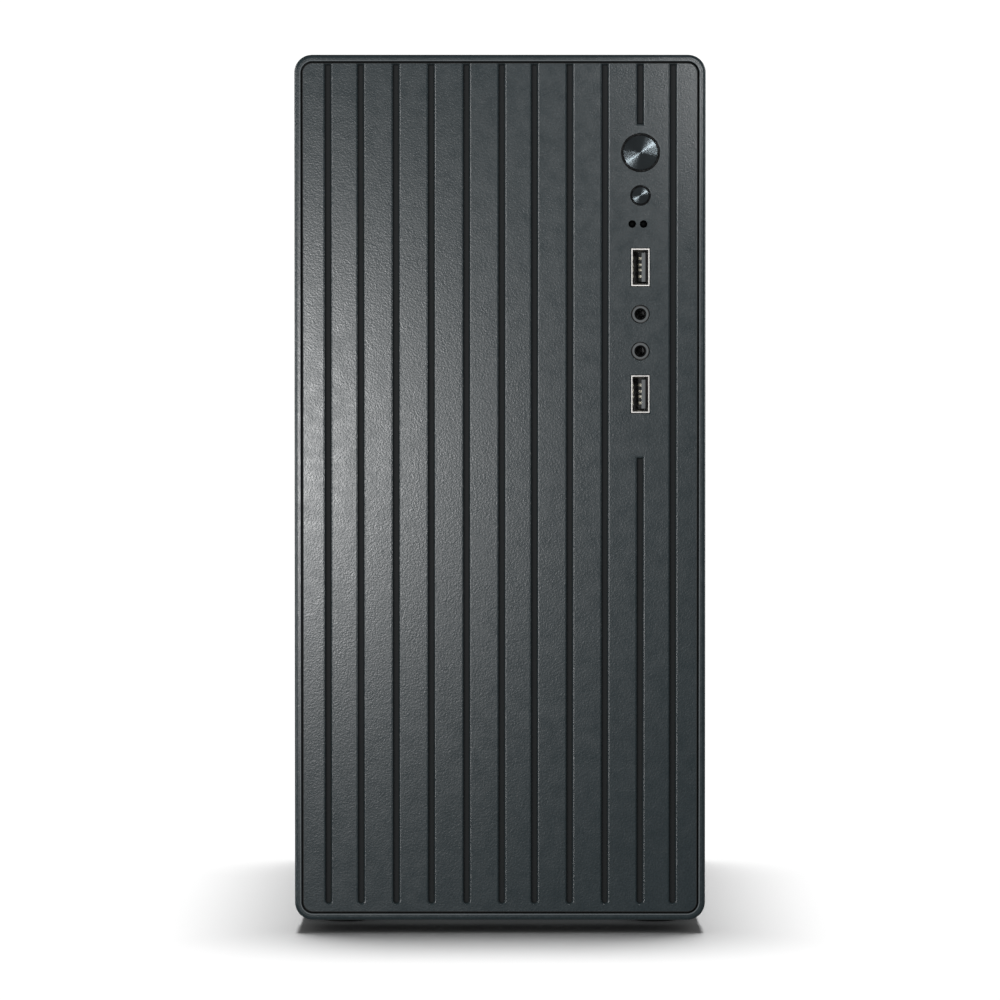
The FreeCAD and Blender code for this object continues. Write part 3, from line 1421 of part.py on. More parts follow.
def make_lead(name, radius, route):
    """A round lead along straight runs joined by arcs, each as large as its runs allow."""
    points = [Vector(*[as_size(place).value for place in point]) for point in route]
    edges = []
    start = points[0]
    for before, corner, after in zip(points, points[1:], points[2:]):
        towards = (before - corner).normalize()
        away = (after - corner).normalize()
        half_turn = (math.pi - towards.getAngle(away)) / 2
        reach = 0.45 * min(before.distanceToPoint(corner), after.distanceToPoint(corner))
        bend = reach / math.tan(half_turn)
        middle = corner + (towards + away).normalize() * (bend / math.cos(half_turn) - bend)
        ends = (corner + towards * reach, corner + away * reach)
        edges.append(Part.LineSegment(start, ends[0]).toShape())
        edges.append(Part.Arc(ends[0], middle, ends[1]).toShape())
        start = ends[1]
        print(f"{name}: bend of {bend:.0f} mm")
    edges.append(Part.LineSegment(start, points[-1]).toShape())
    path = Part.Wire(edges)
    section = Part.Wire(Part.Circle(points[0], points[1] - points[0], radius.value).toShape())
    lead = doc.addObject("Part::Feature", name)
    lead.Shape = path.makePipeShell([section], True, False)
    lead.Placement = FreeCAD.Placement()
    full = math.pi * radius.value ** 2 * path.Length
    if abs(lead.Shape.Volume / full - 1) > 0.02:
        raise SystemExit(f"{name}: the lead's volume does not match its length")
    return lead


def drive_plug_y():
    return (d.drive_front + 4.3, d.drive_front + 9.7)


def make_main_cable():
    """The loom from the power supply to the mainboard, with the drive's power lead."""
    plug = block((d.board_x - 26, d.board_x - 12), (-40.5, -31.5), (170.5, 221.5))
    loom = make_lead("loom", d.main_cable, [
        (45, psu_front, 274), (44, -26, 273), (30, -50, 262), (14, -61, 240), (4, -58, 218),
        (5, -44, 201), (18, -36, 196), (d.board_x - 26, -36, 196)])
    top = d.drive_bottom + d.drive_long
    drive_plug = block((-7.5, 15.5), drive_plug_y(), (top - 5.5, top + 11))
    lead = make_lead("drive lead", d.power_lead, [
        (38.5, psu_front, 270.5), (34, -28, 280), (18, -58, 274), (7, -80, 244),
        (4, -88, 206), (4, -88, top + 11)])
    return group(plug, loom, drive_plug, lead)


def make_data_cable():
    top = d.drive_bottom + d.drive_long
    drive_plug = block((-27.5, -12.5), drive_plug_y(), (top - 5.5, top + 9))
    board_plug = block((d.board_x - 22, d.board_x - 9), around(-38, 5), around(72, 15))
    lead = make_lead("data lead", d.data_lead, [
        (-20, -88, top + 9), (-20, -88, 192), (-7, -79, 208), (14, -64, 196), (24, -53, 160),
        (25, -45, 122), (21, -40, 90), (28, -38, 72), (d.board_x - 22, -38, 72)])
    return group(drive_plug, board_plug, lead)


def make_panel_cable():
    face = d.io_board_x + d.io_board_thick
    upper_plug = block((face, face + 5), (-128.4, -123), (206, 216))
    lower_plug = block((d.board_x - 10, d.board_x - 6), around(-38.5, 5), around(49, 10))
    lead = make_lead("panel lead", d.panel_lead, [
        (53.8, -125.7, 206), (53.8, -125.7, 196), (54.6, -116, 186), (55, -98, 168),
        (56, -84, 134), (56.8, -74, 98), (56.4, -62, 66), (56, -52, 49), (56, -41, 49)])
    return group(upper_plug, lower_plug, lead)


def make_cables():
    keep(make_main_cable(), "main_power_cable")
    keep(make_data_cable(), "drive_data_cable")
    keep(make_panel_cable(), "front_panel_cable")


# ------------------------------------------------------------ build, check and write

def check(thing, name):
    """Stops unless a sub-part is whole."""
    shape = thing.Shape
    if shape.isNull() or not shape.isValid() or not shape.Solids:
        raise SystemExit(f"{name}: its shape is not a valid solid")


def main():
    make_bezel()
    make_front_sockets()
    make_chassis()
    make_side_panels()
    keep(make_case_screws(), "case_screws")
    make_drive()
    make_mainboard()
    make_fans()
    make_power_supply()
    make_cables()
    doc.recompute()
    failed = [item.Label for item in doc.Objects if {"Invalid", "Error"} & set(item.State)]
    if failed:
        raise SystemExit(f"objects that failed: {failed}")
    os.makedirs("parts", exist_ok=True)
    for name, thing in kept.items():
        check(thing, name)
    for name, thing in kept.items():
        thing.Shape.exportStep(f"parts/{name}.step")
    print(f"{len(kept)} sub-parts written")


main()
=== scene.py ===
import math
import random

import bmesh
import bpy
from mathutils import Matrix, Vector


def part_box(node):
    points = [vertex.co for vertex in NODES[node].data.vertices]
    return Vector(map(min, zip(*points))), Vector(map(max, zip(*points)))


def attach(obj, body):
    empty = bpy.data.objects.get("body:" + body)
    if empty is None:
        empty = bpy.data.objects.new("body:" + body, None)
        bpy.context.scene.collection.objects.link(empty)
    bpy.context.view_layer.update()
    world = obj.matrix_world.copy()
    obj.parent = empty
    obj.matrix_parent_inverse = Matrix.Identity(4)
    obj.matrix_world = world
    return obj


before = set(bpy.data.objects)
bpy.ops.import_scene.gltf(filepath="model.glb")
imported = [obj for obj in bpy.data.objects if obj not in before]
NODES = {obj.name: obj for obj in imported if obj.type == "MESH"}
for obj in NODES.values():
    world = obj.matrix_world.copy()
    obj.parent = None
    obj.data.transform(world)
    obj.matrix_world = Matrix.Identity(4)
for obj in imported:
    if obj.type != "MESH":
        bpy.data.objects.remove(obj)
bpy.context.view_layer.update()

MM = 0.001
PI = math.pi
SEED = 11


# ---------------------------------------------------------------- node writing

def paint(red, green, blue):
    """A colour given as it looks on a screen, 0 to 255, as the linear colour that the shader takes."""
    def linear(level):
        share = level / 255
        if share <= 0.04045:
            return share / 12.92
        return ((share + 0.055) / 1.055) ** 2.4
    return (linear(red), linear(green), linear(blue), 1.0)


class Finish:
    """One procedural material: a Principled surface and the nodes that feed it."""

    SOCKETS = {
        "color": "Base Color",
        "metal": "Metallic",
        "rough": "Roughness",
        "specular": "Specular IOR Level",
        "aniso": "Anisotropic",
        "aniso_turn": "Anisotropic Rotation",
        "tangent": "Tangent",
        "glow": "Emission Color",
        "glow_strength": "Emission Strength",
    }

    def __init__(self, name):
        self.material = bpy.data.materials.new(name)
        self.material.use_nodes = True
        self.tree = self.material.node_tree
        self.surface = self.tree.nodes["Principled BSDF"]
        self.place = self.make("TexCoord").outputs["Object"]
        self.normal = None

    def make(self, kind, **options):
        made = self.tree.nodes.new("ShaderNode" + kind)
        for option, value in options.items():
            setattr(made, option, value)
        return made

    def feed(self, socket, value):
        if isinstance(value, bpy.types.NodeSocket):
            self.tree.links.new(value, socket)
        else:
            socket.default_value = value

    def set(self, **values):
        for name, value in values.items():
            self.feed(self.surface.inputs[self.SOCKETS[name]], value)
        return self

    def math(self, operation, first, second=0.0, third=0.0):
        made = self.make("Math", operation=operation)
        for socket, value in zip(made.inputs, (first, second, third)):
            self.feed(socket, value)
        return made.outputs[0]

    def times(self, first, second):
        return self.math("MULTIPLY", first, second)

    def plus(self, first, second):
        return self.math("ADD", first, second)

    def remap(self, value, low, high, bottom=0.0, top=1.0):
        made = self.make("MapRange")
        for socket, number in zip(made.inputs, (value, low, high, bottom, top)):
            self.feed(socket, number)
        return made.outputs[0]

    def mix(self, share, first, second):
        made = self.make("Mix", data_type="RGBA")
        self.feed(made.inputs[0], share)
        self.feed(made.inputs[6], first)
        self.feed(made.inputs[7], second)
        return made.outputs[2]

    def axes(self, place=None):
        made = self.make("SeparateXYZ")
        self.feed(made.inputs[0], place or self.place)
        return made.outputs

    def stretched(self, factors, place=None):
        made = self.make("Mapping")
        self.feed(made.inputs["Vector"], place or self.place)
        made.inputs["Scale"].default_value = factors
        return made.outputs[0]

    def noise(self, size, detail=2.0, stretch=None):
        """Smooth noise, 0 to 1, with features of about that size in metres."""
        made = self.make("TexNoise")
        place = self.stretched(stretch) if stretch else self.place
        self.feed(made.inputs["Vector"], place)
        made.inputs["Scale"].default_value = 1 / size
        made.inputs["Detail"].default_value = detail
        return made.outputs[0]

    def cells(self, size, feature="F1"):
        """Cells of about that size in metres."""
        made = self.make("TexVoronoi", feature=feature)
        self.feed(made.inputs["Vector"], self.place)
        made.inputs["Scale"].default_value = 1 / size
        return made.outputs

    def bump(self, height, depth):
        """Raises the surface by depth metres where height is 1, on top of earlier bumps."""
        made = self.make("Bump")
        made.inputs["Strength"].default_value = 1.0
        made.inputs["Distance"].default_value = depth
        self.feed(made.inputs["Height"], height)
        if self.normal:
            self.feed(made.inputs["Normal"], self.normal)
        self.normal = made.outputs[0]
        self.feed(self.surface.inputs["Normal"], self.normal)
        return self

    def shade(self, base, variation, size=0.03):
        """The base colour with slow lighter and darker drifts over it."""
        dark = tuple(channel * (1 - variation) for channel in base[:3]) + (1.0,)
        light = tuple(min(1.0, channel * (1 + variation)) for channel in base[:3]) + (1.0,)
        drift = self.remap(self.noise(size, 3.0), 0.3, 0.7)
        return self.mix(drift, dark, light)

    def dusted(self, color, amount):
        """A trace of pale dust in fine specks."""
        specks = self.remap(self.noise(0.9 * MM, 4.0), 0.62, 0.8, 0.0, amount)
        return self.mix(specks, color, paint(150, 150, 146))


# ---------------------------------------------------------------- families of material

def moulded(name, base, grain=0.45 * MM, depth=0.02 * MM, rough=(0.38, 0.5), specular=0.5,
            variation=0.06, dust=0.05):
    """Injection-moulded plastic: spark-eroded grain, slow drifts of tone and of gloss."""
    finish = Finish(name)
    color = finish.shade(base, variation)
    if dust:
        color = finish.dusted(color, dust)
    finish.set(color=color, specular=specular)
    finish.set(rough=finish.remap(finish.noise(6 * MM, 4.0), 0.3, 0.7, *rough))
    pits = finish.cells(grain, "SMOOTH_F1")["Distance"]
    finish.bump(finish.noise(grain * 1.6, 3.0), depth)
    finish.bump(pits, depth * 0.6)
    return finish


def glossy(name, base, rough=(0.12, 0.24), variation=0.05):
    """Polished plastic with faint handling marks."""
    finish = Finish(name)
    finish.set(color=finish.shade(base, variation, 0.01), specular=0.5)
    wipes = finish.noise(1.2 * MM, 5.0, (1.0, 1.0, 0.25))
    finish.set(rough=finish.remap(wipes, 0.35, 0.7, *rough))
    finish.bump(finish.noise(2.5 * MM, 2.0), 0.006 * MM)
    return finish


def plated(name, base, rough=(0.22, 0.38), spangle=0.0, grain_axis=None, variation=0.08,
           lines=0.25 * MM):
    """Plated or bare metal: spangle or rolling lines, dull patches and fine scratches."""
    finish = Finish(name)
    color = finish.shade(base, variation, 0.02)
    patches = finish.noise(9 * MM, 4.0)
    roughness = finish.remap(patches, 0.3, 0.7, *rough)
    if spangle:
        flakes = finish.axes(finish.cells(spangle)["Color"])[0]
        darker = tuple(channel * 0.78 for channel in base[:3]) + (1.0,)
        color = finish.mix(finish.times(flakes, 0.5), color, darker)
        roughness = finish.plus(roughness, finish.times(flakes, 0.1))
        finish.bump(flakes, 0.004 * MM)
    if grain_axis is not None:
        stretch = [1.0, 1.0, 1.0]
        stretch[grain_axis] = 0.02
        brushed = finish.noise(lines, 3.0, tuple(stretch))
        roughness = finish.plus(roughness, finish.remap(brushed, 0.3, 0.7, -0.05, 0.08))
        finish.bump(brushed, 0.006 * MM)
    rubbed = finish.noise(0.5 * MM, 4.0, (1.0, 0.06, 0.3))
    marks = finish.remap(rubbed, 0.58, 0.72, 0.0, 0.07)
    finish.set(color=color, metal=1.0, rough=finish.plus(roughness, marks))
    finish.bump(finish.noise(3 * MM, 3.0), 0.01 * MM)
    return finish


def powder_coat(name, base, rough=(0.42, 0.55)):
    """Baked powder coat on steel sheet: a fine pebbled skin with small glints."""
    finish = Finish(name)
    color = finish.dusted(finish.shade(base, 0.04, 0.12), 0.04)
    finish.set(color=color, specular=0.5)
    finish.set(rough=finish.remap(finish.noise(2 * MM, 4.0), 0.3, 0.7, *rough))
    pebbles = finish.cells(0.55 * MM, "SMOOTH_F1")["Distance"]
    finish.bump(pebbles, 0.03 * MM)
    finish.bump(finish.noise(1.4 * MM, 3.0), 0.02 * MM)
    return finish


def turned_metal(name, base, pitch=0.16 * MM):
    """A face turned on a lathe: fine rings round the piece's own middle, across Y."""
    finish = Finish(name)
    around = finish.make("Tangent", direction_type="RADIAL", axis="Y").outputs[0]
    box = finish.make("TexCoord").outputs["Generated"]
    across = finish.axes(box)
    side = finish.math("SUBTRACT", across[0], 0.5)
    rise = finish.math("SUBTRACT", across[2], 0.5)
    squares = finish.plus(finish.times(side, side), finish.times(rise, rise))
    radius = finish.math("SQRT", squares)
    rings = finish.make("TexNoise", noise_dimensions="1D")
    finish.feed(rings.inputs["W"], radius)
    rings.inputs["Scale"].default_value = 0.012 / pitch
    rings.inputs["Detail"].default_value = 3.0
    finish.set(color=finish.shade(base, 0.12, 0.004), metal=1.0, aniso=0.98, aniso_turn=0.25, tangent=around)
    finish.set(rough=finish.remap(rings.outputs[0], 0.3, 0.7, 0.12, 0.14))
    finish.bump(rings.outputs[0], 0.0022 * MM)
    return finish


def circuit_board(name, base, axes, pitch=0.7 * MM, block=9 * MM):
    """Solder mask over copper: bundles of tracks in several directions, vias and bare laminate tone.

    axes are the two directions, 0 to 2, that the board lies in."""
    finish = Finish(name)
    spread = [0.0, 0.0, 0.0]
    for axis in axes:
        spread[axis] = 1.0
    flat = finish.stretched(tuple(spread))
    first, second = (finish.axes(flat)[axis] for axis in axes)
    zones = finish.make("TexVoronoi", feature="F1", distance="CHEBYCHEV")
    finish.feed(zones.inputs["Vector"], flat)
    zones.inputs["Scale"].default_value = 1 / block
    chance = finish.axes(zones.outputs["Color"])
    slanted = finish.math("GREATER_THAN", chance[1], 0.72)
    upright = finish.math("GREATER_THAN", chance[0], 0.5)
    run = finish.mix(upright, first, second)
    run = finish.mix(slanted, run, finish.times(finish.plus(first, second), 0.707))
    wave = finish.math("SINE", finish.times(run, 2 * PI / pitch))
    bundle = finish.math("GREATER_THAN", chance[2], 0.38)
    tracks = finish.times(finish.remap(wave, 0.1, 0.45), bundle)
    holes = finish.make("TexVoronoi", feature="F1")
    finish.feed(holes.inputs["Vector"], flat)
    holes.inputs["Scale"].default_value = 1 / (4.2 * MM)
    distance = holes.outputs["Distance"]
    via = finish.remap(distance, 0.07, 0.1, 1.0, 0.0)
    pierced = finish.remap(distance, 0.03, 0.045, 1.0, 0.0)
    lighter = tuple(min(1.0, channel * 1.9 + 0.008) for channel in base[:3]) + (1.0,)
    color = finish.mix(tracks, finish.shade(base, 0.1), lighter)
    color = finish.mix(via, color, paint(196, 188, 150))
    color = finish.mix(pierced, color, paint(12, 12, 10))
    finish.set(color=finish.dusted(color, 0.05), metal=finish.times(via, 0.8))
    finish.set(rough=finish.remap(finish.noise(8 * MM, 3.0), 0.3, 0.7, 0.24, 0.36))
    finish.bump(tracks, 0.03 * MM)
    finish.bump(via, 0.04 * MM)
    finish.bump(finish.noise(0.5 * MM, 2.0), 0.004 * MM)
    return finish


def masked(finish, share, color, metal=None, rough=None):
    """Lays a second colour, and gloss, over a finish where share is 1."""
    for name, value in (("Base Color", color), ("Metallic", metal), ("Roughness", rough)):
        if value is None:
            continue
        socket = finish.surface.inputs[name]
        before = socket.links[0].from_socket if socket.is_linked else socket.default_value
        if name == "Base Color":
            finish.feed(socket, finish.mix(share, before, value))
        else:
            kept = finish.times(before, finish.math("SUBTRACT", 1.0, share))
            finish.feed(socket, finish.plus(kept, finish.times(share, value)))
    return finish


def within(finish, axis, low, high, soft=0.05 * MM):
    """1 between two places along one direction, 0 outside."""
    along = finish.axes()[axis]
    return finish.times(
        finish.remap(along, low - soft, low + soft),
        finish.remap(along, high - soft, high + soft, 1.0, 0.0),
    )


def outside(finish, low, high, corner):
    """How far a point is outside a box with rounded corners, seen from the front, and below 0 inside it."""
    squares = []
    for axis in (0, 2):
        from_middle = finish.math("SUBTRACT", finish.axes()[axis], (low[axis] + high[axis]) / 2)
        straight = (high[axis] - low[axis]) / 2 - corner
        past = finish.math("SUBTRACT", finish.math("ABSOLUTE", from_middle), straight)
        past = finish.math("MAXIMUM", past, 0.0)
        squares.append(finish.times(past, past))
    return finish.math("SUBTRACT", finish.math("SQRT", finish.plus(*squares)), corner)


def give(material, *names):
    """Puts a material on CAD nodes or on new pieces."""
    for name in names:
        thing = NODES.get(name) or bpy.data.objects[name]
        if not thing.material_slots:
            thing.data.materials.append(material)
        for place in thing.material_slots:
            place.material = material


# ---------------------------------------------------------------- the finishes of the tower

SLATE = paint(41, 52, 56)
COAL = paint(28, 29, 30)
INK = paint(14, 15, 16)
ZINC = paint(176, 180, 182)
ALUMINIUM = paint(208, 210, 212)
BOARD_GREEN = paint(18, 66, 40)


def finish_bezel():
    """Slate plastic, with painted shade: near-black inside its grooves and in the gap round the face, and a
    pale painted highlight line on the rim outside that gap.
    """
    slate = moulded("bezel_plastic", SLATE, 0.42 * MM, 0.028 * MM, (0.22, 0.28), 0.5, 0.04, 0.0)
    grain = slate.remap(slate.noise(0.8 * MM, 3.0), 0.36, 0.64)
    masked(slate, slate.times(grain, 0.5), paint(58, 71, 76))
    slate.bump(slate.noise(0.9 * MM, 2.0), 0.012 * MM)
    low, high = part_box("bezel_face_panel")
    # Painted shade: all of the bezel more than 0.45 mm behind the front of the face panel, the grooves'
    # walls and floors first, is painted near-black and made dull.
    groove_shade = within(slate, 1, low.y + 0.45 * MM, 1.0, 0.3 * MM)
    masked(slate, groove_shade, paint(20, 24, 26), None, 0.75)
    # Painted shade: the gap between the face panel and the rim, from about 0.4 mm inside the panel's outline
    # to 0.5 mm outside it, is painted near-black.
    out = outside(slate, low, high, 4.1 * MM)
    face_ends = slate.remap(out, -0.55 * MM, -0.3 * MM)
    rim_starts = slate.remap(out, 0.45 * MM, 0.5 * MM, 1.0, 0.0)
    masked(slate, slate.times(face_ends, rim_starts), paint(14, 17, 18), None, 0.75)
    # Painted highlight: a pale line on the rim's front, 0.6 to 0.9 mm outside the face panel's outline,
    # standing in for light caught by the rim's inner lip.
    highlight_starts = slate.remap(out, 0.5 * MM, 0.6 * MM)
    highlight_ends = slate.remap(out, 0.85 * MM, 1.0 * MM, 1.0, 0.0)
    rim_highlight = slate.times(slate.times(highlight_starts, highlight_ends), within(slate, 1, -1.0, low.y))
    masked(slate, rim_highlight, paint(118, 124, 127))
    give(slate.material, "bezel_frame", "bezel_face_panel")
    caps = glossy("button_plastic", INK)
    give(caps.material, "power_button", "reset_button")
    discs = turned_metal("button_metal", paint(104, 112, 116))
    give(discs.material, "power_button_disc", "reset_button_disc")
    lamps = glossy("lamp", paint(6, 7, 8), (0.55, 0.65))
    lamps.set(specular=0.06)
    give(lamps.material, "status_leds")


def finish_sheet_metal():
    zinc = plated("zinc_steel", ZINC, (0.3, 0.44), 7 * MM)
    give(zinc.material, "front_wall", "bottom_pan", "motherboard_tray",
         "drive_bracket", "front_io_bracket", "rear_panel", "slot_covers")
    skin = powder_coat("black_paint", COAL)
    give(skin.material, "left_side_panel", "right_side_panel", "top_panel")
    supply = plated("psu_steel", paint(168, 172, 176), (0.28, 0.4), 5 * MM)
    give(supply.material, "psu_base", "psu_cover")
    wire = plated("guard_wire", paint(214, 214, 212), (0.12, 0.22), variation=0.05)
    give(wire.material, "psu_fan_guard")


def finish_hardware():
    screws = plated("screw_zinc", paint(196, 200, 206), (0.16, 0.3), variation=0.1, lines=0.1 * MM)
    give(screws.material, "case_screws")
    thumbs = powder_coat("thumb_black", paint(26, 26, 28), (0.3, 0.42))
    thumbs.set(metal=0.35)
    give(thumbs.material, "left_lower_thumbscrew", "left_upper_thumbscrew",
         "right_lower_thumbscrew", "right_upper_thumbscrew")
    brass = plated("standoff_brass", paint(196, 160, 88), (0.24, 0.36), variation=0.1)
    give(brass.material, "board_standoffs")
    feet = moulded("foot_rubber", paint(24, 24, 24), 0.6 * MM, 0.03 * MM, (0.7, 0.85), 0.35, 0.1, 0.25)
    give(feet.material, "rubber_feet")


def finish_sockets():
    shells = plated("nickel_shell", paint(200, 198, 195), (0.3, 0.42), variation=0.06)
    give(shells.material, "front_usb_shells")
    shield = plated("io_shield_steel", paint(150, 151, 150), (0.26, 0.38), grain_axis=2)
    give(shield.material, "io_shield")
    finish_rear_ports()
    finish_front_usb()
    black = moulded("connector_black", paint(20, 20, 21), 0.3 * MM, 0.01 * MM, (0.34, 0.46))
    give(black.material, "button_switches", "psu_inlet", "psu_switch_housing")
    jacks = moulded("front_jacks", paint(12, 12, 13), 0.3 * MM, 0.01 * MM, (0.4, 0.5))
    low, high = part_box("front_audio_jacks")
    collar = within(jacks, 1, -1.0, low.y + 0.07 * MM, 0.02 * MM)
    radius = (high.x - low.x) / 2
    sides = jacks.math("SUBTRACT", jacks.axes()[0], low.x + radius)
    halfway = (low.z + high.z) / 2
    from_halfway = jacks.math("ABSOLUTE", jacks.math("SUBTRACT", jacks.axes()[2], halfway))
    rise = jacks.math("SUBTRACT", from_halfway, high.z - radius - halfway)
    out = jacks.math("SQRT", jacks.plus(jacks.times(sides, sides), jacks.times(rise, rise)))
    # The grey collar face stops 0.5 mm inside the collar's rim; that outer rim stays black as painted shade
    # of the gap round the jack.
    ring = jacks.remap(out, radius - 0.55 * MM, radius - 0.45 * MM, 1.0, 0.0)
    masked(jacks, jacks.times(collar, ring), paint(92, 97, 99), 0.0, 0.45)
    give(jacks.material, "front_audio_jacks")
    finish_board_sockets()
    finish_rear_jacks()
    white = moulded("switch_white", paint(214, 214, 208), 0.3 * MM, 0.008 * MM, (0.4, 0.5))
    give(white.material, "power_switch_plunger", "reset_switch_plunger")
    rocker = glossy("rocker_black", INK, (0.16, 0.28))
    give(rocker.material, "psu_rocker")


def finish_front_usb():
    """A grey tongue with plated contacts on its left; the root behind it and the tongue's right edge are
    painted black as painted shade inside the socket.
    """
    tongue = moulded("connector_grey", paint(104, 108, 110), 0.3 * MM, 0.008 * MM, (0.4, 0.5))
    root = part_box("front_usb_tongues")[1].y - 2.05 * MM
    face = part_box("front_usb_shells")[1].x - 3.0 * MM
    contacts = within(tongue, 0, 0.0, face - 0.04 * MM, 0.02 * MM)
    masked(tongue, contacts, paint(250, 245, 226), 0.5, 0.2)
    # Painted shade: everything from the root's front backwards, deep in the socket, is painted near-black.
    masked(tongue, within(tongue, 1, root, 0.0), paint(10, 10, 11), 0.0, 0.5)
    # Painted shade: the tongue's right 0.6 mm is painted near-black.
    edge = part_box("front_usb_tongues")[1].x - 0.6 * MM
    masked(tongue, within(tongue, 0, edge, 1.0), paint(10, 10, 11), 0.0, 0.5)
    give(tongue.material, "front_usb_tongues")


def finish_rear_ports():
    """Plated shells; the tongues and blocks inside their mouths are moulded plastic."""
    ports = plated("port_shells", paint(160, 160, 156), (0.22, 0.34), variation=0.06)
    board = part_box("motherboard")[0].x
    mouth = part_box("rear_audio_jacks")[1].y - 0.9 * MM
    inside = within(ports, 1, 0.0, mouth, 0.02 * MM)
    tongues = ports.plus(
        within(ports, 0, board - 6.15 * MM, board - 4.25 * MM),
        within(ports, 0, board - 13.35 * MM, board - 11.45 * MM),
    )
    levels = [within(ports, 2, (z - 5.55) * MM, (z + 5.55) * MM) for z in (224, 205, 128)]
    of_usb = ports.plus(ports.plus(levels[0], levels[1]), levels[2])
    plastic = ports.times(ports.times(inside, tongues), of_usb)
    masked(ports, plastic, paint(30, 30, 32), 0.0, 0.4)
    blocks = (
        (240, 4.3, 6.5, 2.3, paint(96, 62, 128)),
        (176, 7.6, 6.3, 3.1, paint(222, 222, 214)),
        (150, 5.6, 3.5, 0.9, paint(26, 26, 28)),
    )
    for z, tall, middle, half, color in blocks:
        level = within(ports, 2, (z - tall) * MM, (z + tall) * MM)
        across = within(ports, 0, board - (middle + half) * MM, board - (middle - half) * MM)
        masked(ports, ports.times(ports.times(level, across), inside), color, 0.0, 0.4)
    give(ports.material, "rear_io_ports")


def finish_rear_jacks():
    jacks = moulded("jack_colors", paint(20, 20, 21), 0.3 * MM, 0.01 * MM, (0.34, 0.46))
    low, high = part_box("rear_audio_jacks")
    third = (high.x - low.x) / 3
    collar = within(jacks, 1, high.y - 2.2 * MM, 1.0)
    for number, color in enumerate((paint(72, 116, 172), paint(206, 108, 140), paint(116, 176, 74))):
        start = low.x + number * third
        masked(jacks, jacks.times(collar, within(jacks, 0, start, start + third)), color)
    give(jacks.material, "rear_audio_jacks")


def finish_board_sockets():
    """Black sockets, with the pale latches, the red data sockets and the white card socket among them."""
    sockets = moulded("board_sockets", paint(22, 22, 23), 0.3 * MM, 0.01 * MM, (0.34, 0.46))
    masked(sockets, within(sockets, 2, 60 * MM, 128 * MM), paint(150, 34, 26))
    give(sockets.material, "board_sockets")
    slots = moulded("memory_slots", paint(24, 24, 26), 0.3 * MM, 0.01 * MM, (0.34, 0.46))
    low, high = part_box("memory_slots")
    for level in ((low.z - MM, low.z + 4.6 * MM), (high.z - 4.6 * MM, high.z + MM)):
        masked(slots, within(slots, 2, *level), paint(206, 204, 192))
    give(slots.material, "memory_slots")
    cards = moulded("expansion_sockets", paint(22, 22, 23), 0.3 * MM, 0.01 * MM, (0.34, 0.46))
    masked(cards, within(cards, 2, 30 * MM, 50 * MM), paint(216, 212, 196))
    give(cards.material, "expansion_sockets")


def finish_boards():
    board = circuit_board("board_green", BOARD_GREEN, (1, 2))
    give(board.material, "motherboard")
    front = circuit_board("front_board", BOARD_GREEN, (0, 2), block=5 * MM)
    give(front.material, "front_io_board")
    supply = circuit_board("psu_board", paint(104, 78, 40), (0, 1), pitch=1.6 * MM, block=14 * MM)
    masked(supply, within(supply, 2, 0.2606, 0.4), paint(46, 46, 48), 0.0, 0.5)
    give(supply.material, "psu_circuit_board")
    memory = circuit_board("memory_green", BOARD_GREEN, (0, 2), block=5 * MM)
    low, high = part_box("memory_modules")
    middle = (low.y + high.y) / 2
    gap = (high.y - low.y) / 2 - 1.7 * MM
    aside = memory.math("ABSOLUTE", memory.math("SUBTRACT", memory.axes()[1], middle))
    off = memory.math("ABSOLUTE", memory.math("SUBTRACT", aside, gap))
    chips = memory.remap(off, 0.62 * MM, 0.66 * MM)
    masked(memory, chips, paint(24, 24, 25), 0.0, 0.42)
    give(memory.material, "memory_modules")


def finish_parts():
    drive = plated("drive_cast", paint(150, 153, 156), (0.34, 0.5), variation=0.1)
    drive.bump(drive.noise(0.5 * MM, 4.0), 0.03 * MM)
    give(drive.material, "hard_drive")
    fins = plated("cooler_aluminium", ALUMINIUM, (0.24, 0.36), grain_axis=2)
    give(fins.material, "cpu_heatsink", "chipset_heatsink")
    socket = plated("socket_plated", paint(170, 172, 172), (0.26, 0.4), grain_axis=1)
    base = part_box("motherboard")[0].x - 0.8 * MM
    masked(socket, within(socket, 0, base, 1.0), paint(30, 30, 31), 0.0, 0.45)
    give(socket.material, "cpu_socket")
    fans = moulded("fan_black", paint(22, 22, 24), 0.5 * MM, 0.01 * MM, (0.32, 0.46))
    give(fans.material, "cpu_fan_frame", "cpu_fan_rotor", "rear_fan_frame", "rear_fan_rotor",
         "psu_fan_frame", "psu_fan_rotor")
    coin = plated("coin_steel", paint(196, 196, 192), (0.16, 0.26), grain_axis=1)
    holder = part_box("cmos_battery")[1].x - 1.35 * MM
    masked(coin, within(coin, 0, holder, 1.0), paint(24, 24, 25), 0.0, 0.45)
    give(coin.material, "cmos_battery")
    loom = moulded("cable_black", paint(20, 20, 21), 0.6 * MM, 0.04 * MM, (0.5, 0.65))
    give(loom.material, "main_power_cable", "front_panel_cable")
    data = moulded("cable_red", paint(150, 26, 24), 0.6 * MM, 0.01 * MM, (0.36, 0.48))
    give(data.material, "drive_data_cable")


# ---------------------------------------------------------------- small parts, written as meshes

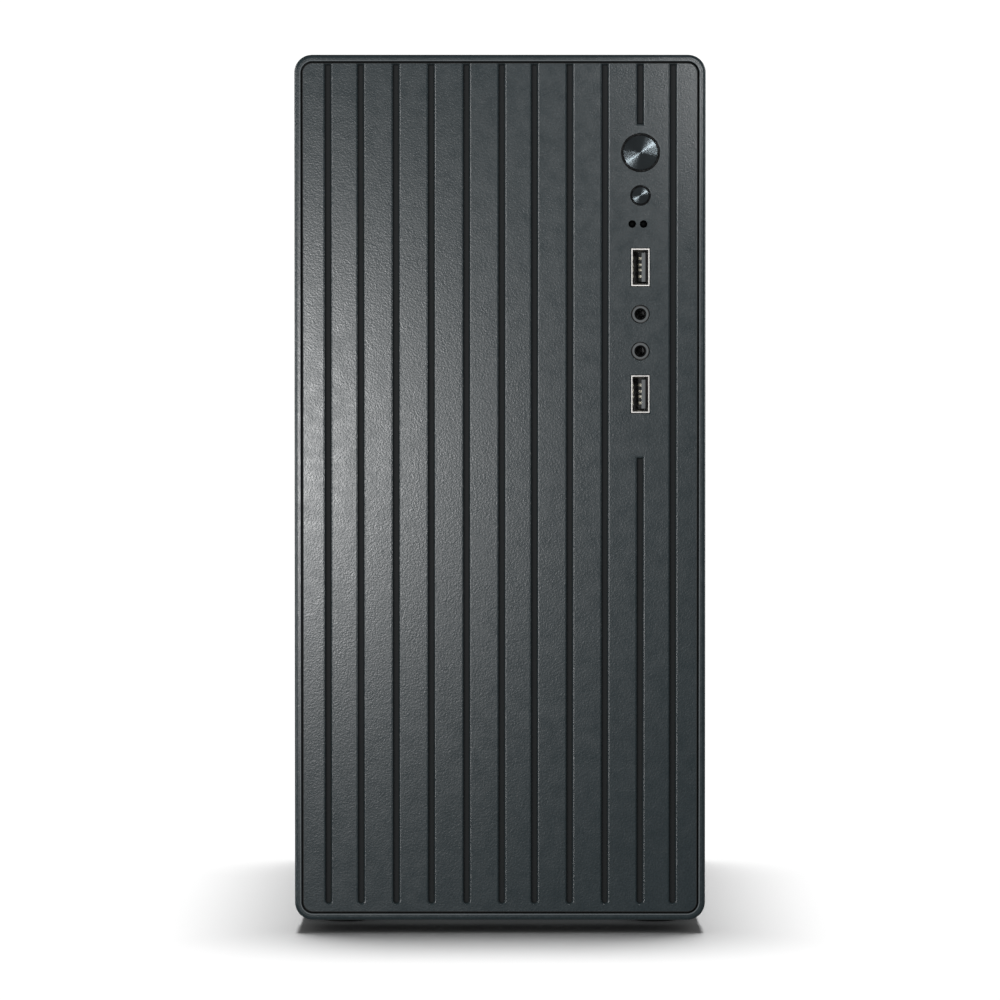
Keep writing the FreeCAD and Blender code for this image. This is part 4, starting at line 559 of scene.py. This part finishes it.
class Shape:
    """A mesh written one solid after another, in the frame's metres, that becomes one piece."""

    def __init__(self, name):
        self.name = name
        self.mesh = bmesh.new()

    def brick(self, middle, size, round_by=0.0, turn=0.0, axis="X"):
        """A block with rounded edges, turned about one direction."""
        made = bmesh.ops.create_cube(self.mesh, size=1.0)["verts"]
        matrix = Matrix.Translation(middle) @ Matrix.Rotation(turn, 4, axis)
        bmesh.ops.transform(self.mesh, matrix=matrix @ Matrix.Diagonal((*size, 1.0)), verts=made)
        if round_by:
            edges = list({edge for corner in made for edge in corner.link_edges})
            bmesh.ops.bevel(self.mesh, geom=edges, offset=round_by, segments=2, profile=0.5,
                            affect="EDGES")

    def lathe(self, middle, axis, profile, sides=20):
        """A turned solid. profile lists how far along the direction, and the radius there."""
        rings = []
        for along, radius in profile:
            ring = []
            for step in range(sides if radius else 1):
                angle = 2 * PI * step / sides
                spot = [0.0, 0.0, 0.0]
                spot[axis] = along
                spot[(axis + 1) % 3] = radius * math.cos(angle)
                spot[(axis + 2) % 3] = radius * math.sin(angle)
                ring.append(self.mesh.verts.new(Vector(middle) + Vector(spot)))
            rings.append(ring)
        for lower, upper in zip(rings, rings[1:]):
            for step in range(sides):
                after = step + 1
                corners = [lower[step % len(lower)], lower[after % len(lower)],
                           upper[after % len(upper)], upper[step % len(upper)]]
                corners = list(dict.fromkeys(corners))
                if len(corners) > 2:
                    self.mesh.faces.new(corners)

    def piece(self, finish, slot, body="chassis"):
        bmesh.ops.recalc_face_normals(self.mesh, faces=self.mesh.faces)
        data = bpy.data.meshes.new(self.name)
        self.mesh.to_mesh(data)
        self.mesh.free()
        data.shade_smooth()
        data.set_sharp_from_angle(angle=math.radians(35))
        thing = bpy.data.objects.new(self.name, data)
        bpy.context.scene.collection.objects.link(thing)
        data.materials.append(finish.material)
        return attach(thing, body)


class BoardMap:
    """The millimetre squares of the mainboard that stand free, so that no part is put on another."""

    REACH = 16 * MM

    def __init__(self):
        self.low, self.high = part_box("motherboard")
        self.face = self.low.x
        self.taken = set()
        for name, thing in NODES.items():
            if name in ("motherboard", "motherboard_tray"):
                continue
            mesh = thing.data
            for polygon in mesh.polygons:
                corners = [mesh.vertices[index].co for index in polygon.vertices]
                reach = max(corner.x for corner in corners)
                if reach < self.face - self.REACH or min(c.x for c in corners) > self.face:
                    continue
                self.take([corner.y for corner in corners], [corner.z for corner in corners])

    def squares(self, ys, zs, margin=0.0):
        for y in range(round((min(ys) - margin) / MM), round((max(ys) + margin) / MM) + 1):
            for z in range(round((min(zs) - margin) / MM), round((max(zs) + margin) / MM) + 1):
                yield (y, z)

    def take(self, ys, zs):
        self.taken.update(self.squares(ys, zs))

    def claim(self, y, z, wide, tall, margin=0.6 * MM):
        """True, and the ground is taken, if a part of that size fits there."""
        ys, zs = (y - wide / 2, y + wide / 2), (z - tall / 2, z + tall / 2)
        edge = 2 * MM
        if ys[0] < self.low.y + edge or ys[1] > self.high.y - edge:
            return False
        if zs[0] < self.low.z + edge or zs[1] > self.high.z - edge:
            return False
        ground = set(self.squares(ys, zs, margin))
        if ground & self.taken:
            return False
        self.taken |= ground
        return True


def make_capacitors(board):
    """Electrolytic capacitors: a sleeve, a crimped rim and a scored aluminium top."""
    sleeves = Shape("board_capacitor_sleeves")
    tops = Shape("board_capacitor_tops")
    rows = (
        [(108, z, 4.0, 12) for z in range(148, 216, 11)],
        [(y, 229, 4.0, 12) for y in range(36, 100, 11)],
        [(17, z, 3.1, 9) for z in (150, 166, 182, 198)],
        [(-24, z, 3.1, 9) for z in (176, 188, 200, 212)],
        [(31, z, 3.1, 9) for z in (38, 50, 66, 78)],
        [(118, 106, 2.5, 7), (104, 118, 2.5, 7), (-40, 148, 3.1, 9), (-40, 134, 3.1, 9)],
    )
    for row in rows:
        for y, z, radius, tall in row:
            radius, tall = radius * MM, tall * MM
            if not board.claim(y * MM, z * MM, 2 * radius, 2 * radius):
                continue
            foot = (board.face, y * MM, z * MM)
            lip = 0.35 * MM
            sleeves.lathe(foot, 0, [
                (0, 0), (0, radius - lip), (-lip, radius), (-1.3 * MM, radius),
                (-1.8 * MM, radius - 0.5 * MM), (-2.3 * MM, radius), (-tall + lip, radius),
                (-tall, radius - lip), (-tall, radius - 0.8 * MM), (-tall + lip, radius - 0.9 * MM),
            ])
            tops.lathe(foot, 0, [
                (-tall + 0.6 * MM, radius - 0.7 * MM), (-tall + 0.1 * MM, radius - 0.8 * MM),
                (-tall + 0.1 * MM, 0),
            ])
            for turn in (0.0, PI / 2):
                tops.brick((foot[0] - tall + 0.05 * MM, foot[1], foot[2]),
                           (0.12 * MM, 1.3 * radius, 0.3 * MM), 0.0, turn + PI / 4)
    sleeve = glossy("capacitor_sleeve", paint(34, 30, 52), (0.2, 0.32))
    sleeves.piece(sleeve, "connector_black")
    tops.piece(plated("capacitor_top", paint(190, 192, 194), (0.22, 0.34)), "cooler_aluminium")


def make_chokes(board):
    """Power chokes: a pressed ferrite block with a round shoulder and a dimple for its winding."""
    chokes = Shape("board_chokes")
    spots = [(118, z) for z in range(150, 214, 13)] + [(y, 242) for y in range(38, 100, 13)]
    for y, z in spots:
        if board.claim(y * MM, z * MM, 9.6 * MM, 9.6 * MM):
            spot = (board.face - 3.6 * MM, y * MM, z * MM)
            chokes.brick(spot, (7.2 * MM, 9.6 * MM, 9.6 * MM), 1.1 * MM)
            chokes.lathe((board.face - 7.0 * MM, y * MM, z * MM), 0,
                         [(0, 3.6 * MM), (-0.7 * MM, 3.3 * MM), (-0.8 * MM, 0)], 24)
    ferrite = moulded("choke_ferrite", paint(62, 62, 64), 0.3 * MM, 0.02 * MM, (0.5, 0.62))
    chokes.piece(ferrite, "connector_grey")


def make_chips(board):
    """Flat chips with a dimple at their first pin, and gull-wing legs on their sides."""
    bodies = Shape("board_chips")
    legs = Shape("board_chip_legs")
    chips = (
        (62, 120, 14, 14, 4, 1.5), (106, 132, 9, 9, 4, 1.2), (112, 92, 7, 7, 4, 1.2),
        (20, 128, 6, 12, 2, 1.3), (-20, 104, 5, 6, 2, 1.6), (104, 238, 6, 6, 4, 1.0),
        (-22, 144, 10, 10, 4, 1.3), (-16, 38, 6, 9, 2, 1.4), (84, 122, 5, 6, 2, 1.5),
        (44, 132, 6.5, 6, 2, 2.2), (56, 135, 6.5, 6, 2, 2.2), (68, 135, 6.5, 6, 2, 2.2),
        (80, 135, 6.5, 6, 2, 2.2), (14, 226, 6.5, 6, 2, 2.2), (14, 238, 6.5, 6, 2, 2.2),
        (24, 226, 6.5, 6, 2, 2.2), (118, 226, 8, 8, 4, 1.2), (-8, 126, 5, 6, 2, 1.5),
    )
    for y, z, wide, tall, sides, thick in chips:
        wide, tall, thick = wide * MM, tall * MM, thick * MM
        y, z = y * MM, z * MM
        if not board.claim(y, z, wide + 2 * MM, tall + 2 * MM):
            continue
        top = board.face - thick
        bodies.brick((board.face - thick / 2 - 0.1 * MM, y, z), (thick, wide, tall), 0.15 * MM)
        bodies.lathe((top - 0.1 * MM, y - wide / 2 + 1.2 * MM, z - tall / 2 + 1.2 * MM), 0,
                     [(0, 0.5 * MM), (-0.04 * MM, 0.42 * MM), (-0.02 * MM, 0)], 12)
        pitch = 0.8 * MM
        for side in (-1, 1):
            for number in range(int((tall - MM) / pitch)):
                along = z - tall / 2 + 0.9 * MM + number * pitch
                reach = wide / 2 + 0.4 * MM
                legs.brick((board.face - 0.15 * MM, y + side * reach, along),
                           (0.2 * MM, 0.9 * MM, 0.32 * MM))
                legs.brick((board.face - 0.5 * MM, y + side * (wide / 2 + 0.1 * MM), along),
                           (0.9 * MM, 0.16 * MM, 0.32 * MM))
            for number in range(int((wide - MM) / pitch) if sides == 4 else 0):
                along = y - wide / 2 + 0.9 * MM + number * pitch
                reach = tall / 2 + 0.4 * MM
                legs.brick((board.face - 0.15 * MM, along, z + side * reach),
                           (0.2 * MM, 0.32 * MM, 0.9 * MM))
    black = moulded("chip_epoxy", paint(26, 26, 27), 0.25 * MM, 0.006 * MM, (0.36, 0.5))
    bodies.piece(black, "connector_black")
    legs.piece(plated("chip_legs", paint(186, 188, 190), (0.2, 0.32)), "nickel_shell")


def make_small_parts(board):
    """Resistors and ceramic capacitors, in loose rows, each with its two soldered ends."""
    draw = random.Random(SEED)
    bodies = {"tan": Shape("board_ceramics"), "black": Shape("board_resistors")}
    sizes = {"tan": (1.7 * MM, 0.9 * MM, 0.7 * MM), "black": (1.9 * MM, 1.1 * MM, 0.5 * MM)}
    ends = Shape("board_solder_ends")
    made = 0
    for _ in range(900):
        y = draw.uniform(board.low.y, board.high.y)
        z = draw.uniform(board.low.z, board.high.z)
        kind = draw.choice(("tan", "tan", "black"))
        upright = draw.random() < 0.5
        run = draw.choice((1, 2, 3, 4, 5))
        long, wide, tall = sizes[kind]
        for number in range(run):
            step = number * 2.0 * MM
            spot = (y + step, z) if upright else (y, z + step)
            size = (wide, long) if upright else (long, wide)
            if not board.claim(spot[0], spot[1], size[0], size[1], 0.0):
                break
            middle = (board.face - tall / 2, spot[0], spot[1])
            bodies[kind].brick(middle, (tall, size[0] * 0.94, size[1] * 0.94))
            for side in (-1, 1):
                shift = side * long * 0.4
                end = (spot[0], spot[1] + shift) if upright else (spot[0] + shift, spot[1])
                across = (wide, long * 0.24) if upright else (long * 0.24, wide)
                ends.brick((board.face - tall * 0.52, *end), (tall * 1.06, *across))
            made += 1
        if made > 420:
            break
    tan = moulded("ceramic_tan", paint(150, 118, 84), 0.3 * MM, 0.004 * MM, (0.4, 0.5))
    black = moulded("resistor_black", paint(24, 24, 25), 0.3 * MM, 0.004 * MM, (0.3, 0.4))
    bodies["tan"].piece(tan, "connector_grey")
    bodies["black"].piece(black, "connector_black")
    ends.piece(plated("solder", paint(196, 198, 200), (0.2, 0.34)), "nickel_shell")


def make_headers(board):
    """Pin headers along the lower and upper edges: a ribbed block and two rows of square pins."""
    blocks = Shape("board_header_blocks")
    pins = Shape("board_header_pins")
    pitch = 2.54 * MM
    headers = ((-22, 31, 5, 2), (-2, 31, 5, 2), (14, 31, 5, 2), (110, 31, 5, 2), (104, 226, 3, 1),
               (116, 138, 3, 1), (-38, 36, 4, 1), (8, 100, 3, 1))
    for y, z, count, rows in headers:
        y, z = y * MM, z * MM
        if not board.claim(y, z, count * pitch, rows * pitch):
            continue
        for number in range(count):
            for row in range(rows):
                spot = (y + (number - (count - 1) / 2) * pitch, z + (row - (rows - 1) / 2) * pitch)
                middle = (board.face - 1.25 * MM, *spot)
                blocks.brick(middle, (2.5 * MM, pitch * 0.98, pitch * 0.98), 0.3 * MM)
                pins.brick((board.face - 4.2 * MM, *spot), (8.4 * MM, 0.64 * MM, 0.64 * MM), 0.12 * MM)
    black = moulded("header_black", paint(22, 22, 23), 0.3 * MM, 0.008 * MM, (0.4, 0.5))
    blocks.piece(black, "connector_black")
    pins.piece(plated("header_gold", paint(214, 178, 96), (0.18, 0.3)), "standoff_brass")


def make_crystals(board):
    """Quartz crystals in pressed metal cans."""
    cans = Shape("board_crystals")
    for y, z, turn in ((84, 110, 0.0), (112, 112, PI / 2), (2, 134, 0.0), (-6, 44, 0.0)):
        wide, tall = (10.5, 4.4) if not turn else (4.4, 10.5)
        if board.claim(y * MM, z * MM, wide * MM, tall * MM):
            for size, rise in (((10.8, 4.7), 0.4), ((10.2, 4.0), 3.4)):
                corner = 0.18 * MM if rise < 1 else 1.2 * MM
                cans.brick((board.face - rise / 2 * MM, y * MM, z * MM),
                           (rise * MM, size[0] * MM, size[1] * MM), corner, turn)
    cans.piece(plated("crystal_can", paint(196, 198, 200), (0.14, 0.24)), "nickel_shell")


def populate_board():
    board = BoardMap()
    make_capacitors(board)
    make_chokes(board)
    make_chips(board)
    make_headers(board)
    make_crystals(board)
    make_small_parts(board)


def make_fan_discs():
    """A plain foil disc on each fan's hub, which turns with its rotor."""
    foil = plated("foil_disc", paint(150, 152, 154), (0.3, 0.42))
    for node, body, axis in (("cpu_fan_rotor", "cpu_fan", 0), ("rear_fan_rotor", "rear_fan", 1)):
        low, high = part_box(node)
        middle = (low + high) / 2
        middle[axis] = low[axis]
        disc = Shape(node + "_foil")
        disc.lathe(middle, axis, [(0.0, 12.2 * MM), (-0.06 * MM, 12.1 * MM), (-0.08 * MM, 0)], 48)
        disc.piece(foil, "screw_zinc", body)


# ---------------------------------------------------------------- the stage

def make_floor():
    """A white paper floor, and a white backdrop far round it that only the camera sees."""
    bpy.ops.mesh.primitive_plane_add(size=60.0, location=(0, 0, 0))
    floor = bpy.context.object
    floor.name = "stage_floor"
    paper = Finish("stage_paper")
    paper.set(color=paper.shade(paint(243, 243, 243), 0.01, 0.4), specular=0.1, rough=0.9)
    floor.data.materials.append(paper.material)
    floor.visible_diffuse = False
    floor.visible_glossy = False
    bpy.ops.mesh.primitive_uv_sphere_add(radius=28.0, segments=48, ring_count=24)
    backdrop = bpy.context.object
    backdrop.name = "stage_backdrop"
    white = Finish("stage_white")
    white.set(color=(0.0, 0.0, 0.0, 1.0), glow=(1.0, 1.0, 1.0, 1.0), glow_strength=1.1, specular=0.0)
    backdrop.data.materials.append(white.material)
    white.material.cycles.emission_sampling = "NONE"
    for seen in ("visible_diffuse", "visible_glossy", "visible_transmission", "visible_shadow"):
        setattr(backdrop, seen, False)


def area_light(name, place, aim, size, power):
    light = bpy.data.lights.new(name, "AREA")
    light.shape = "RECTANGLE"
    light.size, light.size_y = size
    light.energy = power
    holder = bpy.data.objects.new(name, light)
    holder.location = place
    holder.rotation_euler = (Vector(aim) - Vector(place)).to_track_quat("-Z", "Y").to_euler()
    holder.visible_camera = False
    bpy.context.scene.collection.objects.link(holder)
    return holder


def make_camera(distance=2.0, tilt=math.radians(1.7)):
    """A long lens that looks at the middle of the front, from very slightly above."""
    low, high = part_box("bezel_frame")
    aim = Vector(((low.x + high.x) / 2, low.y, (low.z + high.z) / 2 - 4.5 * MM))
    data = bpy.data.cameras.new("camera")
    data.lens = 185.0
    data.sensor_width = 36.0
    holder = bpy.data.objects.new("camera", data)
    back = Vector((0, -math.cos(tilt), math.sin(tilt)))
    holder.location = aim + back * distance
    holder.rotation_euler = (-back).to_track_quat("-Z", "Y").to_euler()
    bpy.context.scene.collection.objects.link(holder)
    bpy.context.scene.camera = holder


def link_light(light, floor, only):
    """Keeps a light off the floor, or shines it on the floor only."""
    group = bpy.data.collections.new(light.name + "_receivers")
    group.objects.link(floor)
    light.light_linking.receiver_collection = group
    group.collection_objects[0].light_linking.link_state = "INCLUDE" if only else "EXCLUDE"


def make_lights():
    """A soft sun on the floor only, and small lights and soft boxes round the object, off the floor."""
    floor = bpy.data.objects["stage_floor"]
    sun = bpy.data.lights.new("overhead", "SUN")
    sun.energy = 3.35
    sun.angle = math.radians(19)
    holder = bpy.data.objects.new("overhead", sun)
    holder.rotation_euler = (math.radians(-8.3), 0, 0)
    bpy.context.scene.collection.objects.link(holder)
    link_light(holder, floor, True)
    front = (0, -0.15, 0.18)
    middle = (0, 0, 0.17)
    for name, place, aim, size, power in (
        ("key", (-0.178, -1.2, 0.163), front, (0.05, 0.05), 2.65),
        ("fill", (0.25, -1.2, 0.47), front, (0.1, 0.1), 0.8),
        ("corner", (0.112, -0.45, 0.38), (0.095, -0.15, 0.38), (0.02, 0.14), 0.14),
        ("edge", (-1.1, -0.95, 0.25), front, (0.16, 0.8), 5.0),
        ("left", (-1.5, 0.6, 0.6), middle, (1.0, 1.0), 18),
        ("right", (1.5, 0.6, 0.6), middle, (1.0, 1.0), 18),
        ("behind", (0.2, 1.7, 0.6), middle, (1.2, 0.8), 16),
    ):
        link_light(area_light(name, place, aim, size, power), floor, False)
    world = bpy.data.worlds.new("studio")
    bpy.context.scene.world = world
    world.use_nodes = True
    world.node_tree.nodes["Background"].inputs["Color"].default_value = (1, 1, 1, 1)
    world.node_tree.nodes["Background"].inputs["Strength"].default_value = 0.14


def main():
    for packed in bpy.data.materials:
        packed.name = "packed_" + packed.name
    finish_bezel()
    finish_sheet_metal()
    finish_hardware()
    finish_sockets()
    finish_boards()
    finish_parts()
    populate_board()
    make_fan_discs()
    make_floor()
    make_camera()
    make_lights()
    bpy.context.scene.view_settings.view_transform = "Standard"


main()
